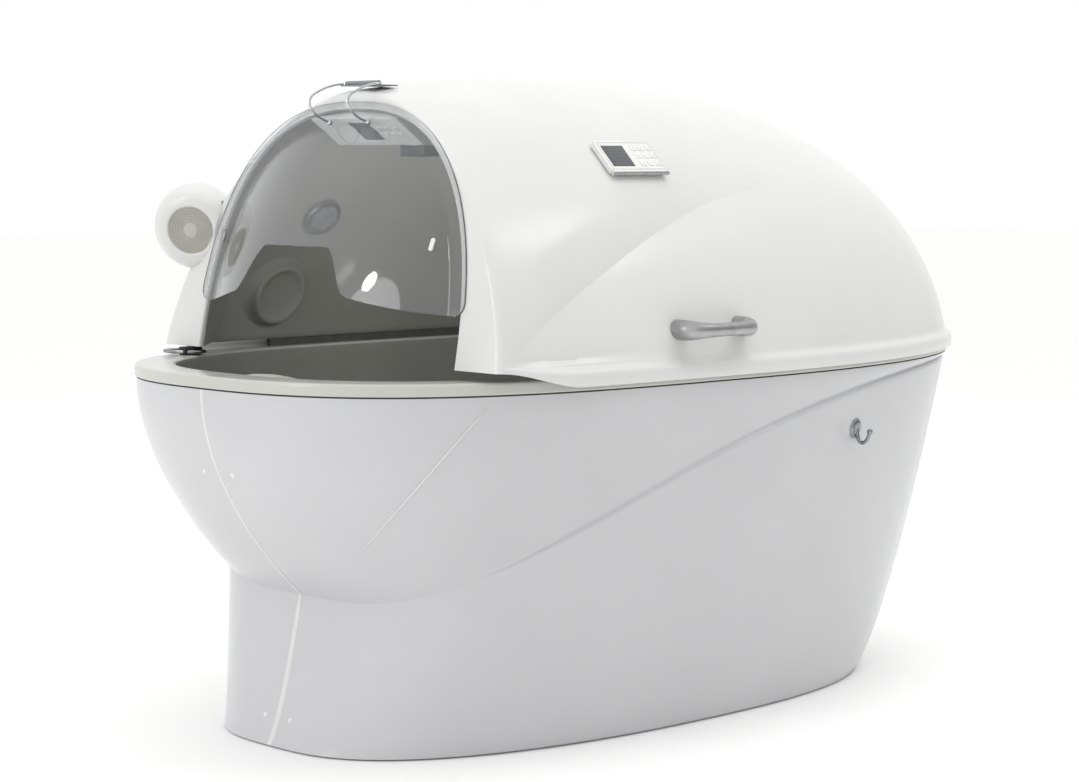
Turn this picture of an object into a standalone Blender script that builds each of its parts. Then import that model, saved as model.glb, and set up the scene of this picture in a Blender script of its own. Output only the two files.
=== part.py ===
import math

import bmesh
import bpy
from mathutils import Matrix, Vector
from mathutils.bvhtree import BVHTree

# Spa capsule for one lying client. Metres, +Z up, head end towards -X, handle side towards -Y.
# Shapes are drawn about the widest station of the rim, then moved to the middle of the length.

# Clearances
GAP = 0.0003
SEAM_GAP = 0.0008
FLOOR_CLEARANCE = 0.004
MERGE = 0.00001

# Rim outline seen from above, from the widest station
HEAD_REACH = 0.96
FOOT_REACH = 1.24
RIM_HALF_WIDTH = 0.605
RIM_HEAD_POWERS = (3.14, 2.67)
RIM_FOOT_POWERS = (2.44, 2.04)
RIM_HEIGHT = 0.778

# Pedestal: its outline on the floor and the one it flares to at rim height
FLOOR_HEAD_REACH = 0.80
FLOOR_FOOT_REACH = 0.905
FLOOR_HALF_WIDTH = 0.45
FLOOR_HEAD_POWERS = (1.95, 3.0)
FLOOR_FOOT_POWERS = (2.75, 2.5)
PEDESTAL_HEAD_REACH = 0.627
PEDESTAL_HEAD_POWERS = (2.94, 4.42)
PEDESTAL_INSET = 0.003
PEDESTAL_FLARE = 0.69

# Crease where the bowl meets the pedestal, and the small ledge along it
CREASE_LOW = 0.28
CREASE_HIGH = 0.763
CREASE_POWERS = (1.145, 2.92)
LEDGE = 0.008
LEDGE_RISE = 0.6
LEDGE_START_X = -0.62
LEDGE_FADE = 0.25
BOWL_POWER = 1.92
HULL_WALL = 0.006

# Tub
GASKET_TALL = 0.003
GASKET_WIDE = 0.010
FLANGE_OUT = 0.004
FLANGE_TALL = 0.0255
FLANGE_EDGE = 0.005
DECK_HEAD_WIDE = 0.085
DECK_FOOT_WIDE = 0.090
DECK_SIDE_WIDE = 0.070
BASIN_DEPTH = 0.34
BASIN_HEAD_SLOPE = 0.275
BASIN_FOOT_SLOPE = 0.200
BASIN_SIDE_SLOPE = 0.195
BASIN_WALL_POWER = 2.2
TUB_WALL = 0.006

# Lid dome
LID_FRONT_X = -0.652
LID_BASE_DROP = 0.007
LID_RISE = 0.633
LID_FRONT_DROP = 0.034
LID_NARROWING = 0.026
LID_SECTION_POWERS = (1.88, 1.6)
LID_RIDGE_POWERS = (2.03, 2.36)
LID_LEAN_DEPTH = 0.10
RIDGE_SHORTENING = 0.25
LID_WALL = 0.006
LIP_OUT = 0.014
LIP_TALL = 0.036
LIP_SLOPE = 0.008
LIP_OVERLAP = 0.017
FRONT_EDGE_LIFT = 0.020
LIP_SWEEP = 0.22
FASCIA_EDGE = 0.010

# Arched face opening
ARCH_SIDE_WIDE = 0.139
ARCH_CREST_WIDE = 0.040
ARCH_POWER = 2.5

# Lid liner and seal
LINER_INSET = 0.034
LINER_WALL = 0.004
LINER_FLANGE_OUT = 0.020
LINER_FLANGE_LIFT = 0.0195
SEAL_WIDE = 0.010
SEAL_START_X = -0.36

# Lid hinges on the far side
HINGE_STATIONS = (-0.22, 0.22)
HINGE_WIDE = 0.12
HINGE_ARM_WIDE = 0.040
KNUCKLE_RADIUS = 0.010
HINGE_PIN_RADIUS = 0.005
HINGE_LEAF = 0.005
HINGE_BASE_TALL = 0.075
HINGE_ARM_TALL = 0.030
HINGE_DROP = 0.006

# Bow handle
HANDLE_X = -0.056
HANDLE_LONG = 0.184
HANDLE_HEIGHT = 0.893
HANDLE_STANDOFF = 0.053
HANDLE_END_RADIUS = 0.022
HANDLE_MIDDLE_RADIUS = 0.0145
HANDLE_BOW_POWER = 0.6
HANDLE_SWELL_POWER = 2

# Outer control panel and inner console
PANEL_X = -0.096
PANEL_REACH = 0.63
PANEL_WIDE = 0.172
PANEL_TALL = 0.094
PANEL_THICK = 0.012
PANEL_ROUND = 0.006
DISPLAY_WIDE = 0.066
DISPLAY_TALL = 0.062
DISPLAY_SINK = 0.003
DISPLAY_MARGIN = 0.014
KEY_WIDE = 0.016
KEY_TALL = 0.014
KEY_THICK = 0.005
KEY_PITCH = 0.023
KEY_PROUD = 0.0015
KEY_TRAVEL = 0.0012
KEY_MARGIN = 0.010
CONSOLE_WIDE = 0.29
CONSOLE_FACE = 0.098
CONSOLE_DEEP = 0.11
CONSOLE_TILT = math.radians(36)
CONSOLE_LOW_X = -0.475
CONSOLE_ARCH_DROP = 0.0771
CONSOLE_SLICES = 12
CONSOLE_TOP_STEPS = 6
CONSOLE_SHIFT = 0.04
VENT_SIZE = (0.045, 0.080, 0.024)

# Fan on the far front edge
FAN_X = -0.638
FAN_ARCH_OUT = 0.0445
FAN_LIFT = 0.2634
FAN_TURN = math.radians(35)
FAN_TILT = math.radians(10)
FAN_COWL_RADIUS = 0.0995
FAN_LIP_RADIUS = 0.066
FAN_SHOULDER_DEEP = 0.050
FAN_BACK_DEEP = 0.075
FAN_MOUTH_RADIUS = 0.054
FAN_CAVITY_DEEP = 0.040
FAN_WALL = 0.003
FAN_VISOR_CLEAR = 0.008
FAN_SIDE_X = -0.60
FAN_ROTOR_RADIUS = 0.034
FAN_ROTOR_THICK = 0.006
FAN_ROTOR_DEPTH = 0.006
FAN_HUB_RADIUS = 0.012
FAN_BLADES = 5
FAN_BLADE_POWER = 0.5
FAN_TWIST = math.radians(22)
FAN_MOTOR_RADIUS = 0.011
GRILLE_RINGS = 5
GRILLE_BAR = 0.003
GRILLE_CROSS = 0.0024

# Fittings on the far inner wall of the lid
SPEAKER_PLACE = (-0.376, 0.94)
SPEAKER_RADIUS = 0.088
SPEAKER_THICK = 0.030
SPEAKER_ROUND = 0.012
LAMP_PLACE = (-0.314, 1.122)
LAMP_RADIUS = 0.048
LAMP_LENS_RADIUS = 0.036
LAMP_THICK = 0.010
LAMP_PROUD = 0.022
LAMP_LENS_SINK = 0.003

# Visor
VISOR_OVERLAP = 0.016
VISOR_STANDOFF = 0.004
VISOR_WALL = 0.004
VISOR_BULGE = 0.138
VISOR_RIM = 0.90
VISOR_CORNER_HEIGHT = 0.933
VISOR_CORNER_ROUND = 0.030
VISOR_LOBE_RISE = 0.034
VISOR_LOBE_POWER = 1.6
VISOR_CUT_RISE = 0.102
VISOR_CUT_HALF = 0.148
VISOR_CUT_SLOPE = 0.090
VISOR_AXIS_X = -0.525
VISOR_BARREL_RADIUS = 0.006
VISOR_BARREL_HALF = 0.055
BRACKET_DEEP = 0.070
BRACKET_PLATE = 0.003
WIRE_RADIUS = 0.0025
WIRE_OUT = 0.010
WIRE_SCREW_DROP = 0.040
WIRE_REACH = 0.092
WIRE_DIP = 0.028
WIRE_TURN = 0.034
WIRE_RUN_STEPS = 4

# Headrest
HEADREST_SIZE = (0.15, 0.27, 0.10)
HEADREST_CROWN = 0.018
HEADREST_DRAW = 0.05
HEADREST_CORNER = 0.12
HEADREST_TOP = 0.012

# Base frame, feet and units inside the pedestal
TUBE = 0.040
FRAME_HEAD_INSET = 0.220
FRAME_FOOT_INSET = 0.225
FRAME_SIDE_INSET = 0.160
POST_HEAD_INSET = 0.200
POST_FOOT_INSET = 0.390
POST_SIDE_INSET = 0.120
POST_DEEP = 0.036
RAIL_OVERHANG = 0.002
TRAY_THICK = 0.004
FOOT_TALL = 0.030
FOOT_RADIUS = 0.024
FOOT_TOP_RADIUS = 0.0216
FOOT_PAD_TALL = 0.012
FOOT_STEM_RADIUS = 0.008
STEAMER_SIZE = (0.34, 0.26, 0.24)
STEAMER_FROM_POST = 0.32
STEAMER_ROUND = 0.02
OUTLET_RADIUS = 0.018
OUTLET_CAP_RADIUS = 0.030
OUTLET_CAP_TALL = 0.014
OUTLET_CAP_ROUND = 0.009
CONTROL_SIZE = (0.24, 0.30, 0.12)
CONTROL_FROM_POST = 0.20
CONTROL_ROUND = 0.008
DRAIN_FROM_FOOT = 0.23
DRAIN_RADIUS = 0.028
DRAIN_FLANGE_RADIUS = 0.042
DRAIN_FLANGE_TALL = 0.005
DRAIN_TAIL = 0.070
INLET_SIZE = (0.060, 0.045, 0.030)
INLET_X = 0.40
INLET_HEIGHT = 0.16
INLET_ROUND = 0.004

# Hook on the near side of the hull, and the rest under the far front corner of the lid
HOOK_X = 0.468
HOOK_HEIGHT = 0.637
HOOK_ROSETTE_RADIUS = 0.021
HOOK_ROSETTE_THICK = 0.006
HOOK_ROSETTE_EDGE = 0.00315
HOOK_WIRE_RADIUS = 0.004
HOOK_OUT = 0.034
HOOK_DROP = 0.030
REST_X = -0.650
REST_ARCH_OUT = 0.035
REST_SIZE = (0.050, 0.030)
REST_ROUND = 0.004

# Mesh fineness
HULL_COLUMNS = 22
PEDESTAL_ROWS = 5
BOWL_ROWS = 5
TUB_COLUMNS = 40
BASIN_ROWS = 5
LID_FRONT_COLUMNS = 5
LID_FOOT_COLUMNS = 10
VISOR_COLUMNS = 26
VISOR_ROWS = 8
ROUND_STEPS = 24
SMALL_STEPS = 16
HANDLE_STEPS = 12
COWL_STEPS = 4
QUAD = 4
HOOK_STEPS = 8
BLADE_STEPS = 8
HEADREST_CUTS = 5
BEVEL_STEPS = 2
EVENNESS = 1.3
PLAN_STEP = 0.01
CREASE_ROUNDS = 24
SEAT_START = 0.004
SEAT_REACH = 0.012
SEAT_ROUNDS = 16

# Heights that follow from the sizes above
FLANGE_LOW = RIM_HEIGHT + GASKET_TALL + 2 * GAP
DECK_HEIGHT = FLANGE_LOW + FLANGE_TALL
LID_BASE = DECK_HEIGHT - LID_BASE_DROP
LIP_LOW = DECK_HEIGHT - LIP_OVERLAP
FRONT_EDGE = DECK_HEIGHT + FRONT_EDGE_LIFT
ARCH_RISE = LID_BASE + LID_RISE - LID_FRONT_DROP - ARCH_CREST_WIDE - FRONT_EDGE
ARCH_HALF_WIDTH = RIM_HALF_WIDTH - LID_NARROWING - ARCH_SIDE_WIDE
FAN_PLACE = (FAN_X, ARCH_HALF_WIDTH + FAN_ARCH_OUT, FRONT_EDGE + FAN_LIFT)
REST_PLACE = (REST_X, ARCH_HALF_WIDTH + REST_ARCH_OUT)
BASIN_FLOOR = DECK_HEIGHT - BASIN_DEPTH
HINGE_Y = RIM_HALF_WIDTH + LIP_OUT + HINGE_LEAF + KNUCKLE_RADIUS
HINGE_HEIGHT = LIP_LOW - HINGE_DROP
BASIN_HEAD_REACH = HEAD_REACH - DECK_HEAD_WIDE
BASIN_FOOT_REACH = FOOT_REACH - DECK_FOOT_WIDE
BASIN_HALF_WIDTH = RIM_HALF_WIDTH - DECK_SIDE_WIDE
FLOOR_HEAD_END = BASIN_HEAD_REACH - BASIN_HEAD_SLOPE
FLOOR_FOOT_END = BASIN_FOOT_REACH - BASIN_FOOT_SLOPE
FLOOR_SIDE_END = BASIN_HALF_WIDTH - BASIN_SIDE_SLOPE
DRAIN_X = FLOOR_FOOT_END - DRAIN_FROM_FOOT
FRAME_HEAD_X = FRAME_HEAD_INSET - FLOOR_HEAD_REACH
FRAME_FOOT_X = FLOOR_FOOT_REACH - FRAME_FOOT_INSET
FRAME_HALF_WIDTH = FLOOR_HALF_WIDTH - FRAME_SIDE_INSET
POST_HEAD_X = POST_HEAD_INSET - FLOOR_HEAD_END
POST_FOOT_X = FLOOR_FOOT_END - POST_FOOT_INSET
POST_HALF_WIDTH = FLOOR_SIDE_END - POST_SIDE_INSET
STEAMER_X = POST_FOOT_X - STEAMER_FROM_POST
CONTROL_X = POST_HEAD_X + CONTROL_FROM_POST
CONSOLE_LOW_HEIGHT = FRONT_EDGE + ARCH_RISE - CONSOLE_ARCH_DROP
LENGTH_MIDDLE = (FOOT_REACH + LIP_OUT - HEAD_REACH - FLANGE_OUT) / 2

# Angles up one side of a lid section, from its edge to the ridge
SECTION_ANGLES = [math.radians(angle) for angle in (0, 4, 8, 16, 28, 40, 52, 64, 77, 90)]
LIP_ROWS = 3
SIDE_ROWS = len(SECTION_ANGLES) - 1


# Scene and materials

def clear_scene():
    for item in list(bpy.data.objects):
        bpy.data.objects.remove(item)


def collection(name):
    group = bpy.data.collections.new(name)
    bpy.context.scene.collection.children.link(group)
    return group


def finish(name, colour, roughness, metallic=0.0, alpha=1.0):
    made = bpy.data.materials.new(name)
    made.use_nodes = True
    shader = made.node_tree.nodes["Principled BSDF"]
    shader.inputs["Base Color"].default_value = (*colour, 1.0)
    shader.inputs["Roughness"].default_value = roughness
    shader.inputs["Metallic"].default_value = metallic
    shader.inputs["Alpha"].default_value = alpha
    return made


clear_scene()
parts = collection("spa_capsule")
cutters = collection("cutters")
white_gelcoat = finish("white_gelcoat", (0.82, 0.82, 0.81), 0.18)
grey_liner = finish("grey_liner", (0.17, 0.17, 0.155), 0.45)
chrome = finish("chrome", (0.62, 0.62, 0.62), 0.18, 1.0)
steel = finish("galvanised_steel", (0.42, 0.43, 0.44), 0.45, 1.0)
black_rubber = finish("black_rubber", (0.02, 0.02, 0.02), 0.75)
black_plastic = finish("black_plastic", (0.03, 0.03, 0.035), 0.5)
white_plastic = finish("white_plastic", (0.74, 0.74, 0.70), 0.4)
display_glass = finish("display_glass", (0.08, 0.08, 0.09), 0.15)
clear_acrylic = finish("clear_acrylic", (0.62, 0.64, 0.66), 0.05, 0.0, 0.35)
lamp_glass = finish("lamp_glass", (0.55, 0.55, 0.56), 0.2)
grey_vinyl = finish("grey_vinyl", (0.30, 0.30, 0.29), 0.55)


# Placing pieces

def hang(piece, carrier):
    bpy.context.view_layer.update()
    piece.parent = carrier
    piece.matrix_parent_inverse = carrier.matrix_world.inverted()


def axis_point(name, place, carrier=None):
    point = bpy.data.objects.new(name, None)
    parts.objects.link(point)
    point.location = place
    if carrier:
        hang(point, carrier)
    return point


def add(name, form, material, carrier, frame=None, smooth=True):
    mesh = bpy.data.meshes.new(name)
    form.to_mesh(mesh)
    form.free()
    mesh.materials.append(material)
    piece = bpy.data.objects.new(name, mesh)
    parts.objects.link(piece)
    piece.matrix_world = frame or Matrix()
    hang(piece, carrier)
    if smooth:
        mesh.shade_smooth()
    return piece


def add_cutter(form, frame=None):
    mesh = bpy.data.meshes.new("cutter")
    form.to_mesh(mesh)
    form.free()
    cutter = bpy.data.objects.new("cutter", mesh)
    cutters.objects.link(cutter)
    cutter.matrix_world = frame or Matrix()
    cutter.hide_render = True
    cutter.display_type = "WIRE"
    return cutter


def combine(piece, other, operation):
    change = piece.modifiers.new(operation.lower(), "BOOLEAN")
    change.operation = operation
    change.object = other


def settle(piece):
    # The piece takes the mesh that its modifiers make
    bpy.context.view_layer.update()
    graph = bpy.context.evaluated_depsgraph_get()
    mesh = bpy.data.meshes.new_from_object(piece.evaluated_get(graph))
    piece.modifiers.clear()
    piece.data = mesh


def thicken(piece, wall, side):
    change = piece.modifiers.new("wall", "SOLIDIFY")
    change.thickness = wall
    change.offset = side
    change.use_even_offset = True
    settle(piece)


def round_edges(piece, width):
    change = piece.modifiers.new("round", "BEVEL")
    change.width = width
    change.segments = BEVEL_STEPS
    change.limit_method = "ANGLE"


def surface_tree(piece, shift=Vector()):
    bpy.context.view_layer.update()
    shown = piece.evaluated_get(bpy.context.evaluated_depsgraph_get())
    mesh = shown.to_mesh()
    points = [piece.matrix_world @ vert.co + shift for vert in mesh.vertices]
    mesh.calc_loop_triangles()
    faces = [list(face.vertices) for face in mesh.loop_triangles]
    shown.to_mesh_clear()
    return BVHTree.FromPolygons(points, faces)


def seat(piece, carrier, direction, reach=SEAT_REACH):
    # Moves a piece along direction until it lies GAP from its carrier
    target = surface_tree(carrier)
    clear = 0.0
    touching = reach
    for _ in range(SEAT_ROUNDS):
        middle = (clear + touching) / 2
        if surface_tree(piece, direction * middle).overlap(target):
            touching = middle
        else:
            clear = middle
    piece.matrix_world = Matrix.Translation(direction * (clear - GAP)) @ piece.matrix_world


def fit_back(piece, carrier, direction, chosen):
    # Draws the chosen points of a piece along direction onto the inside of its carrier
    target = surface_tree(carrier)
    place = piece.matrix_world.copy()
    for vert in chosen:
        found = target.ray_cast(place @ vert.co, direction)[0]
        vert.co = place.inverted() @ (found - 2 * direction * GAP)


# Basic forms

def box(size, centre=(0, 0, 0)):
    form = bmesh.new()
    bmesh.ops.create_cube(form, size=1.0)
    bmesh.ops.scale(form, vec=size, verts=form.verts)
    bmesh.ops.translate(form, vec=centre, verts=form.verts)
    return form


def cylinder(radius, low, high, steps=ROUND_STEPS):
    form = bmesh.new()
    tall = high - low
    bmesh.ops.create_cone(form, cap_ends=True, segments=steps, radius1=radius, radius2=radius, depth=tall)
    bmesh.ops.translate(form, vec=(0, 0, (low + high) / 2), verts=form.verts)
    return form


def trim(form, point, normal):
    # Cuts away what lies on the normal's side of a plane and closes the cut
    everything = list(form.verts) + list(form.edges) + list(form.faces)
    bmesh.ops.bisect_plane(form, geom=everything, plane_co=point, plane_no=normal, clear_outer=True)
    bmesh.ops.holes_fill(form, edges=form.edges)


def trim_piece(piece, frame, point, normal):
    # The same cut on a finished piece, with the plane given in the capsule's frame
    into = frame.inverted()
    form = bmesh.new()
    form.from_mesh(piece.data)
    trim(form, into @ point, into.to_3x3() @ normal)
    bmesh.ops.recalc_face_normals(form, faces=form.faces)
    form.to_mesh(piece.data)
    form.free()


def surface(columns, rows, place):
    # Grid whose points lie where place puts them; points that meet are merged
    form = bmesh.new()
    bmesh.ops.create_grid(form, x_segments=columns, y_segments=rows, size=1.0)
    for vert in form.verts:
        column = round((vert.co.x + 1) / 2 * columns)
        row = round((vert.co.y + 1) / 2 * rows)
        vert.co = place(column, row)
    bmesh.ops.remove_doubles(form, verts=form.verts, dist=MERGE)
    bmesh.ops.dissolve_degenerate(form, edges=form.edges, dist=MERGE)
    return form


def strip(columns, corner):
    # Bar of four-sided section swept through columns, with its open ends closed
    form = surface(columns, 4, lambda column, row: corner(column, row % 4))
    bmesh.ops.holes_fill(form, edges=form.edges)
    bmesh.ops.recalc_face_normals(form, faces=form.faces)
    return form


def turned(name, profile, material, carrier, frame=None, steps=ROUND_STEPS):
    # Profile points are radius and height, down the outer side from top to bottom
    form = bmesh.new()
    points = [form.verts.new((radius, 0, height)) for radius, height in profile]
    for upper, lower in zip(points, points[1:]):
        form.edges.new((upper, lower))
    piece = add(name, form, material, carrier, frame)
    change = piece.modifiers.new("turn", "SCREW")
    change.steps = steps
    change.render_steps = steps
    change.use_merge_vertices = True
    change.merge_threshold = MERGE
    settle(piece)
    return piece


def outline_plate(points, thick):
    # Flat outline standing on the XY plane
    form = bmesh.new()
    face = form.faces.new([form.verts.new((x, y, 0)) for x, y in points])
    raised = bmesh.ops.extrude_face_region(form, geom=[face])["geom"]
    lifted = [item for item in raised if isinstance(item, bmesh.types.BMVert)]
    bmesh.ops.translate(form, vec=(0, 0, thick), verts=lifted)
    bmesh.ops.recalc_face_normals(form, faces=form.faces)
    return form


def wire(name, points, radii, material, carrier, frame=None):
    path = bpy.data.curves.new(name, "CURVE")
    path.dimensions = "3D"
    path.bevel_depth = 1.0
    path.bevel_resolution = 2
    path.use_fill_caps = True
    line = path.splines.new("POLY")
    line.points.add(len(points) - 1)
    for spot, place, radius in zip(line.points, points, radii):
        spot.co = (*place, 1.0)
        spot.radius = radius
    drawn = bpy.data.objects.new(name, path)
    parts.objects.link(drawn)
    bpy.context.view_layer.update()
    mesh = bpy.data.meshes.new_from_object(drawn.evaluated_get(bpy.context.evaluated_depsgraph_get()))
    bpy.data.objects.remove(drawn)
    form = bmesh.new()
    form.from_mesh(mesh)
    bmesh.ops.remove_doubles(form, verts=form.verts, dist=MERGE)
    return add(name, form, material, carrier, frame)


def facing(place, normal, along=Vector((1, 0, 0))):
    # Frame at a place whose Z is the normal and whose X runs along the given way
    upright = normal.normalized()
    side = (along - along.dot(upright) * upright).normalized()
    turn = Matrix((side, upright.cross(side), upright)).transposed()
    return Matrix.Translation(place) @ turn.to_4x4()


def smooth_step(value):
    inside = min(max(value, 0.0), 1.0)
    return inside * inside * (3 - 2 * inside)


# Plan outlines

def signed_power(value, power):
    return math.copysign(abs(value) ** power, value)


def outline(angle, head, foot, half, head_powers, foot_powers):
    # Angle 0 is the head end and pi the foot end, with the near side between them
    along = math.cos(angle)
    across = math.sin(angle)
    reach, powers = (head, head_powers) if along > 0 else (foot, foot_powers)
    x = -reach * signed_power(along, 2 / powers[0])
    y = -half * signed_power(across, 2 / powers[1])
    return Vector((x, y))


def even_angle(half_turns):
    # Angles that spread points evenly along a blunt outline
    turn = math.pi * half_turns
    angle = math.acos(signed_power(math.cos(turn), EVENNESS))
    return angle if half_turns <= 1 else 2 * math.pi - angle


def offset(curve, place, distance):
    # Point of a plan curve moved square to it, outwards where the distance is positive
    tangent = (curve(place + PLAN_STEP) - curve(place - PLAN_STEP)).normalized()
    return curve(place) + distance * Vector((tangent.y, -tangent.x))


def rim(angle):
    return outline(angle, HEAD_REACH, FOOT_REACH, RIM_HALF_WIDTH, RIM_HEAD_POWERS, RIM_FOOT_POWERS)


def raised(plan, height):
    return Vector((plan.x, plan.y, height))


# Hull halves

def pedestal(angle, height):
    low = outline(
        angle, FLOOR_HEAD_REACH, FLOOR_FOOT_REACH, FLOOR_HALF_WIDTH, FLOOR_HEAD_POWERS, FLOOR_FOOT_POWERS
    )
    foot = FOOT_REACH - PEDESTAL_INSET
    half = RIM_HALF_WIDTH - PEDESTAL_INSET
    high = outline(angle, PEDESTAL_HEAD_REACH, foot, half, PEDESTAL_HEAD_POWERS, RIM_FOOT_POWERS)
    return low.lerp(high, (height / RIM_HEIGHT) ** PEDESTAL_FLARE)


def crease_height(x):
    share = min(max((x + FLOOR_HEAD_REACH) / (FLOOR_HEAD_REACH + FOOT_REACH), 0.0), 1.0)
    start, end = CREASE_POWERS
    return CREASE_LOW + (CREASE_HIGH - CREASE_LOW) * (1 - (1 - share ** start) ** end)


def crease(angle):
    height = CREASE_LOW
    for _ in range(CREASE_ROUNDS):
        height = (height + crease_height(pedestal(angle, height).x)) / 2
    return raised(pedestal(angle, height), height)


def bowl(angle, share):
    # Share 0 is the rim and 1 the crease
    low = crease(angle)
    ledge = LEDGE * smooth_step((low.x - LEDGE_START_X) / LEDGE_FADE)
    inner = offset(lambda place: crease(place).xy, angle, -ledge)
    plan = rim(angle).lerp(inner, share ** BOWL_POWER)
    return raised(plan, RIM_HEIGHT + (low.z + ledge * LEDGE_RISE - RIM_HEIGHT) * share)


def hull_point(angle, row):
    if row <= PEDESTAL_ROWS:
        height = FLOOR_CLEARANCE + (crease(angle).z - FLOOR_CLEARANCE) * row / PEDESTAL_ROWS
        return raised(pedestal(angle, height), height)
    return bowl(angle, 1 - (row - PEDESTAL_ROWS - 1) / BOWL_ROWS)


def make_hull_half(name, first_half_turn, side):
    def place(column, row):
        return hull_point(even_angle(first_half_turn + column / HULL_COLUMNS), row)

    form = surface(HULL_COLUMNS, PEDESTAL_ROWS + 1 + BOWL_ROWS, place)
    half = add(name, form, white_gelcoat, capsule)
    thicken(half, HULL_WALL, -1)
    for vert in half.data.vertices:
        vert.co.y = side * max(side * vert.co.y, SEAM_GAP / 2)
        vert.co.z = min(max(vert.co.z, FLOOR_CLEARANCE), RIM_HEIGHT)
    return half


# Tub, gasket and drain

def basin(angle, share):
    mouth = outline(
        angle, BASIN_HEAD_REACH, BASIN_FOOT_REACH, BASIN_HALF_WIDTH, RIM_HEAD_POWERS, RIM_FOOT_POWERS
    )
    floor = outline(
        angle, FLOOR_HEAD_END, FLOOR_FOOT_END, FLOOR_SIDE_END, RIM_HEAD_POWERS, RIM_FOOT_POWERS
    )
    plan = mouth.lerp(floor, share ** BASIN_WALL_POWER)
    return raised(plan, DECK_HEIGHT - BASIN_DEPTH * (1 - (1 - share) ** BASIN_WALL_POWER))


def tub_point(column, row):
    angle = even_angle(2 * column / TUB_COLUMNS)
    flange = [
        raised(offset(rim, angle, FLANGE_OUT), FLANGE_LOW),
        raised(offset(rim, angle, FLANGE_OUT), DECK_HEIGHT - FLANGE_EDGE),
        raised(offset(rim, angle, FLANGE_OUT - FLANGE_EDGE), DECK_HEIGHT),
    ]
    if row < len(flange):
        return flange[row]
    return basin(angle, (row - len(flange)) / BASIN_ROWS)


def make_tub():
    flange_rows = 3
    form = surface(TUB_COLUMNS, flange_rows + BASIN_ROWS, tub_point)
    floor = [edge for edge in form.edges if all(vert.co.z < BASIN_FLOOR + MERGE for vert in edge.verts)]
    bmesh.ops.contextual_create(form, geom=floor)
    bmesh.ops.recalc_face_normals(form, faces=form.faces)
    tub = add("tub", form, white_gelcoat, capsule)
    thicken(tub, TUB_WALL, -1)
    for x, radius in ((DRAIN_X, DRAIN_RADIUS), (STEAMER_X, OUTLET_RADIUS)):
        hole = cylinder(radius + GAP, BASIN_FLOOR - BASIN_DEPTH / 4, BASIN_FLOOR + BASIN_DEPTH / 4)
        cutter = add_cutter(hole, Matrix.Translation((x, 0, 0)))
        combine(tub, cutter, "DIFFERENCE")
    settle(tub)
    return tub


def make_rim_gasket():
    low = RIM_HEIGHT + GAP

    def corner(column, index):
        angle = even_angle(2 * column / TUB_COLUMNS)
        inset = -GASKET_WIDE if index in (1, 2) else -PEDESTAL_INSET
        height = low + GASKET_TALL if index > 1 else low
        return raised(offset(rim, angle, inset), height)

    return add("rim_gasket", strip(TUB_COLUMNS, corner), black_rubber, capsule)


def make_drain():
    top = BASIN_FLOOR + GAP + DRAIN_FLANGE_TALL
    profile = [
        (0, top),
        (DRAIN_FLANGE_RADIUS - DRAIN_FLANGE_TALL, top),
        (DRAIN_FLANGE_RADIUS, BASIN_FLOOR + GAP),
        (DRAIN_RADIUS, BASIN_FLOOR + GAP),
        (DRAIN_RADIUS, BASIN_FLOOR - DRAIN_TAIL),
        (0, BASIN_FLOOR - DRAIN_TAIL),
    ]
    return turned("drain", profile, chrome, capsule, Matrix.Translation((DRAIN_X, 0, 0)))


# Lid sections

def lid_half_width(x, inset=0.0):
    if x < 0:
        return RIM_HALF_WIDTH - inset - LID_NARROWING * (x / LID_FRONT_X) ** 2
    along, across = RIM_FOOT_POWERS
    share = min(x / (FOOT_REACH - inset), 1.0)
    return (RIM_HALF_WIDTH - inset) * (1 - share ** along) ** (1 / across)


def lid_rise(x, inset=0.0):
    if x < 0:
        return LID_RISE - inset - LID_FRONT_DROP * (x / LID_FRONT_X) ** 2
    along, across = LID_RIDGE_POWERS
    share = min(x / (FOOT_REACH - inset), 1.0)
    return (LID_RISE - inset) * (1 - share ** along) ** (1 / across)


def lid_height(x, y, inset=0.0):
    across, up = LID_SECTION_POWERS
    half = lid_half_width(x, inset)
    share = min(abs(y) / half, 1.0) if half > MERGE else 1.0
    return LID_BASE + lid_rise(x, inset) * (1 - share ** across) ** (1 / up)


def lid_reach(x, height, inset=0.0):
    across, up = LID_SECTION_POWERS
    share = 1 - ((height - LID_BASE) / lid_rise(x, inset)) ** up
    return lid_half_width(x, inset) * share ** (1 / across)


def lid_edge(station):
    # Plan edge of the near side: station 0 is the front, the last one the foot end
    if station <= LID_FRONT_COLUMNS:
        x = LID_FRONT_X * (1 - station / LID_FRONT_COLUMNS)
        return Vector((x, -lid_half_width(x)))
    half_turns = (1 + (station - LID_FRONT_COLUMNS) / LID_FOOT_COLUMNS) / 2
    return rim(even_angle(half_turns))


def leaned(point):
    # The front of the lid leans back as it rises
    share = max(point.x / LID_FRONT_X, 0.0) ** 2
    point.x += LID_LEAN_DEPTH * share * (point.z - FRONT_EDGE) / ARCH_RISE
    return point


def lid_rib(station, angle, inset=0.0):
    # Point of the dome on the rib that climbs from an edge station to the ridge
    across = LID_SECTION_POWERS[0]
    reach = math.cos(angle) ** (2 / across)
    edge = offset(lid_edge, station, -inset)
    ridge_x = edge.x * (1 - RIDGE_SHORTENING * max(edge.x, 0.0) / FOOT_REACH)
    x = ridge_x + (edge.x - ridge_x) * reach
    y = edge.y * reach
    return leaned(Vector((x, y, lid_height(x, y, inset))))


def edge_sweep(x):
    # 0 at the front corner, 1 where the lip has come down over the rim
    return smooth_step((x - LID_FRONT_X) / LIP_SWEEP)


def arch_point(angle):
    y = -ARCH_HALF_WIDTH * math.cos(angle) ** (2 / ARCH_POWER)
    z = FRONT_EDGE + ARCH_RISE * math.sin(angle) ** (2 / ARCH_POWER)
    return leaned(Vector((LID_FRONT_X, y, z)))


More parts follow.
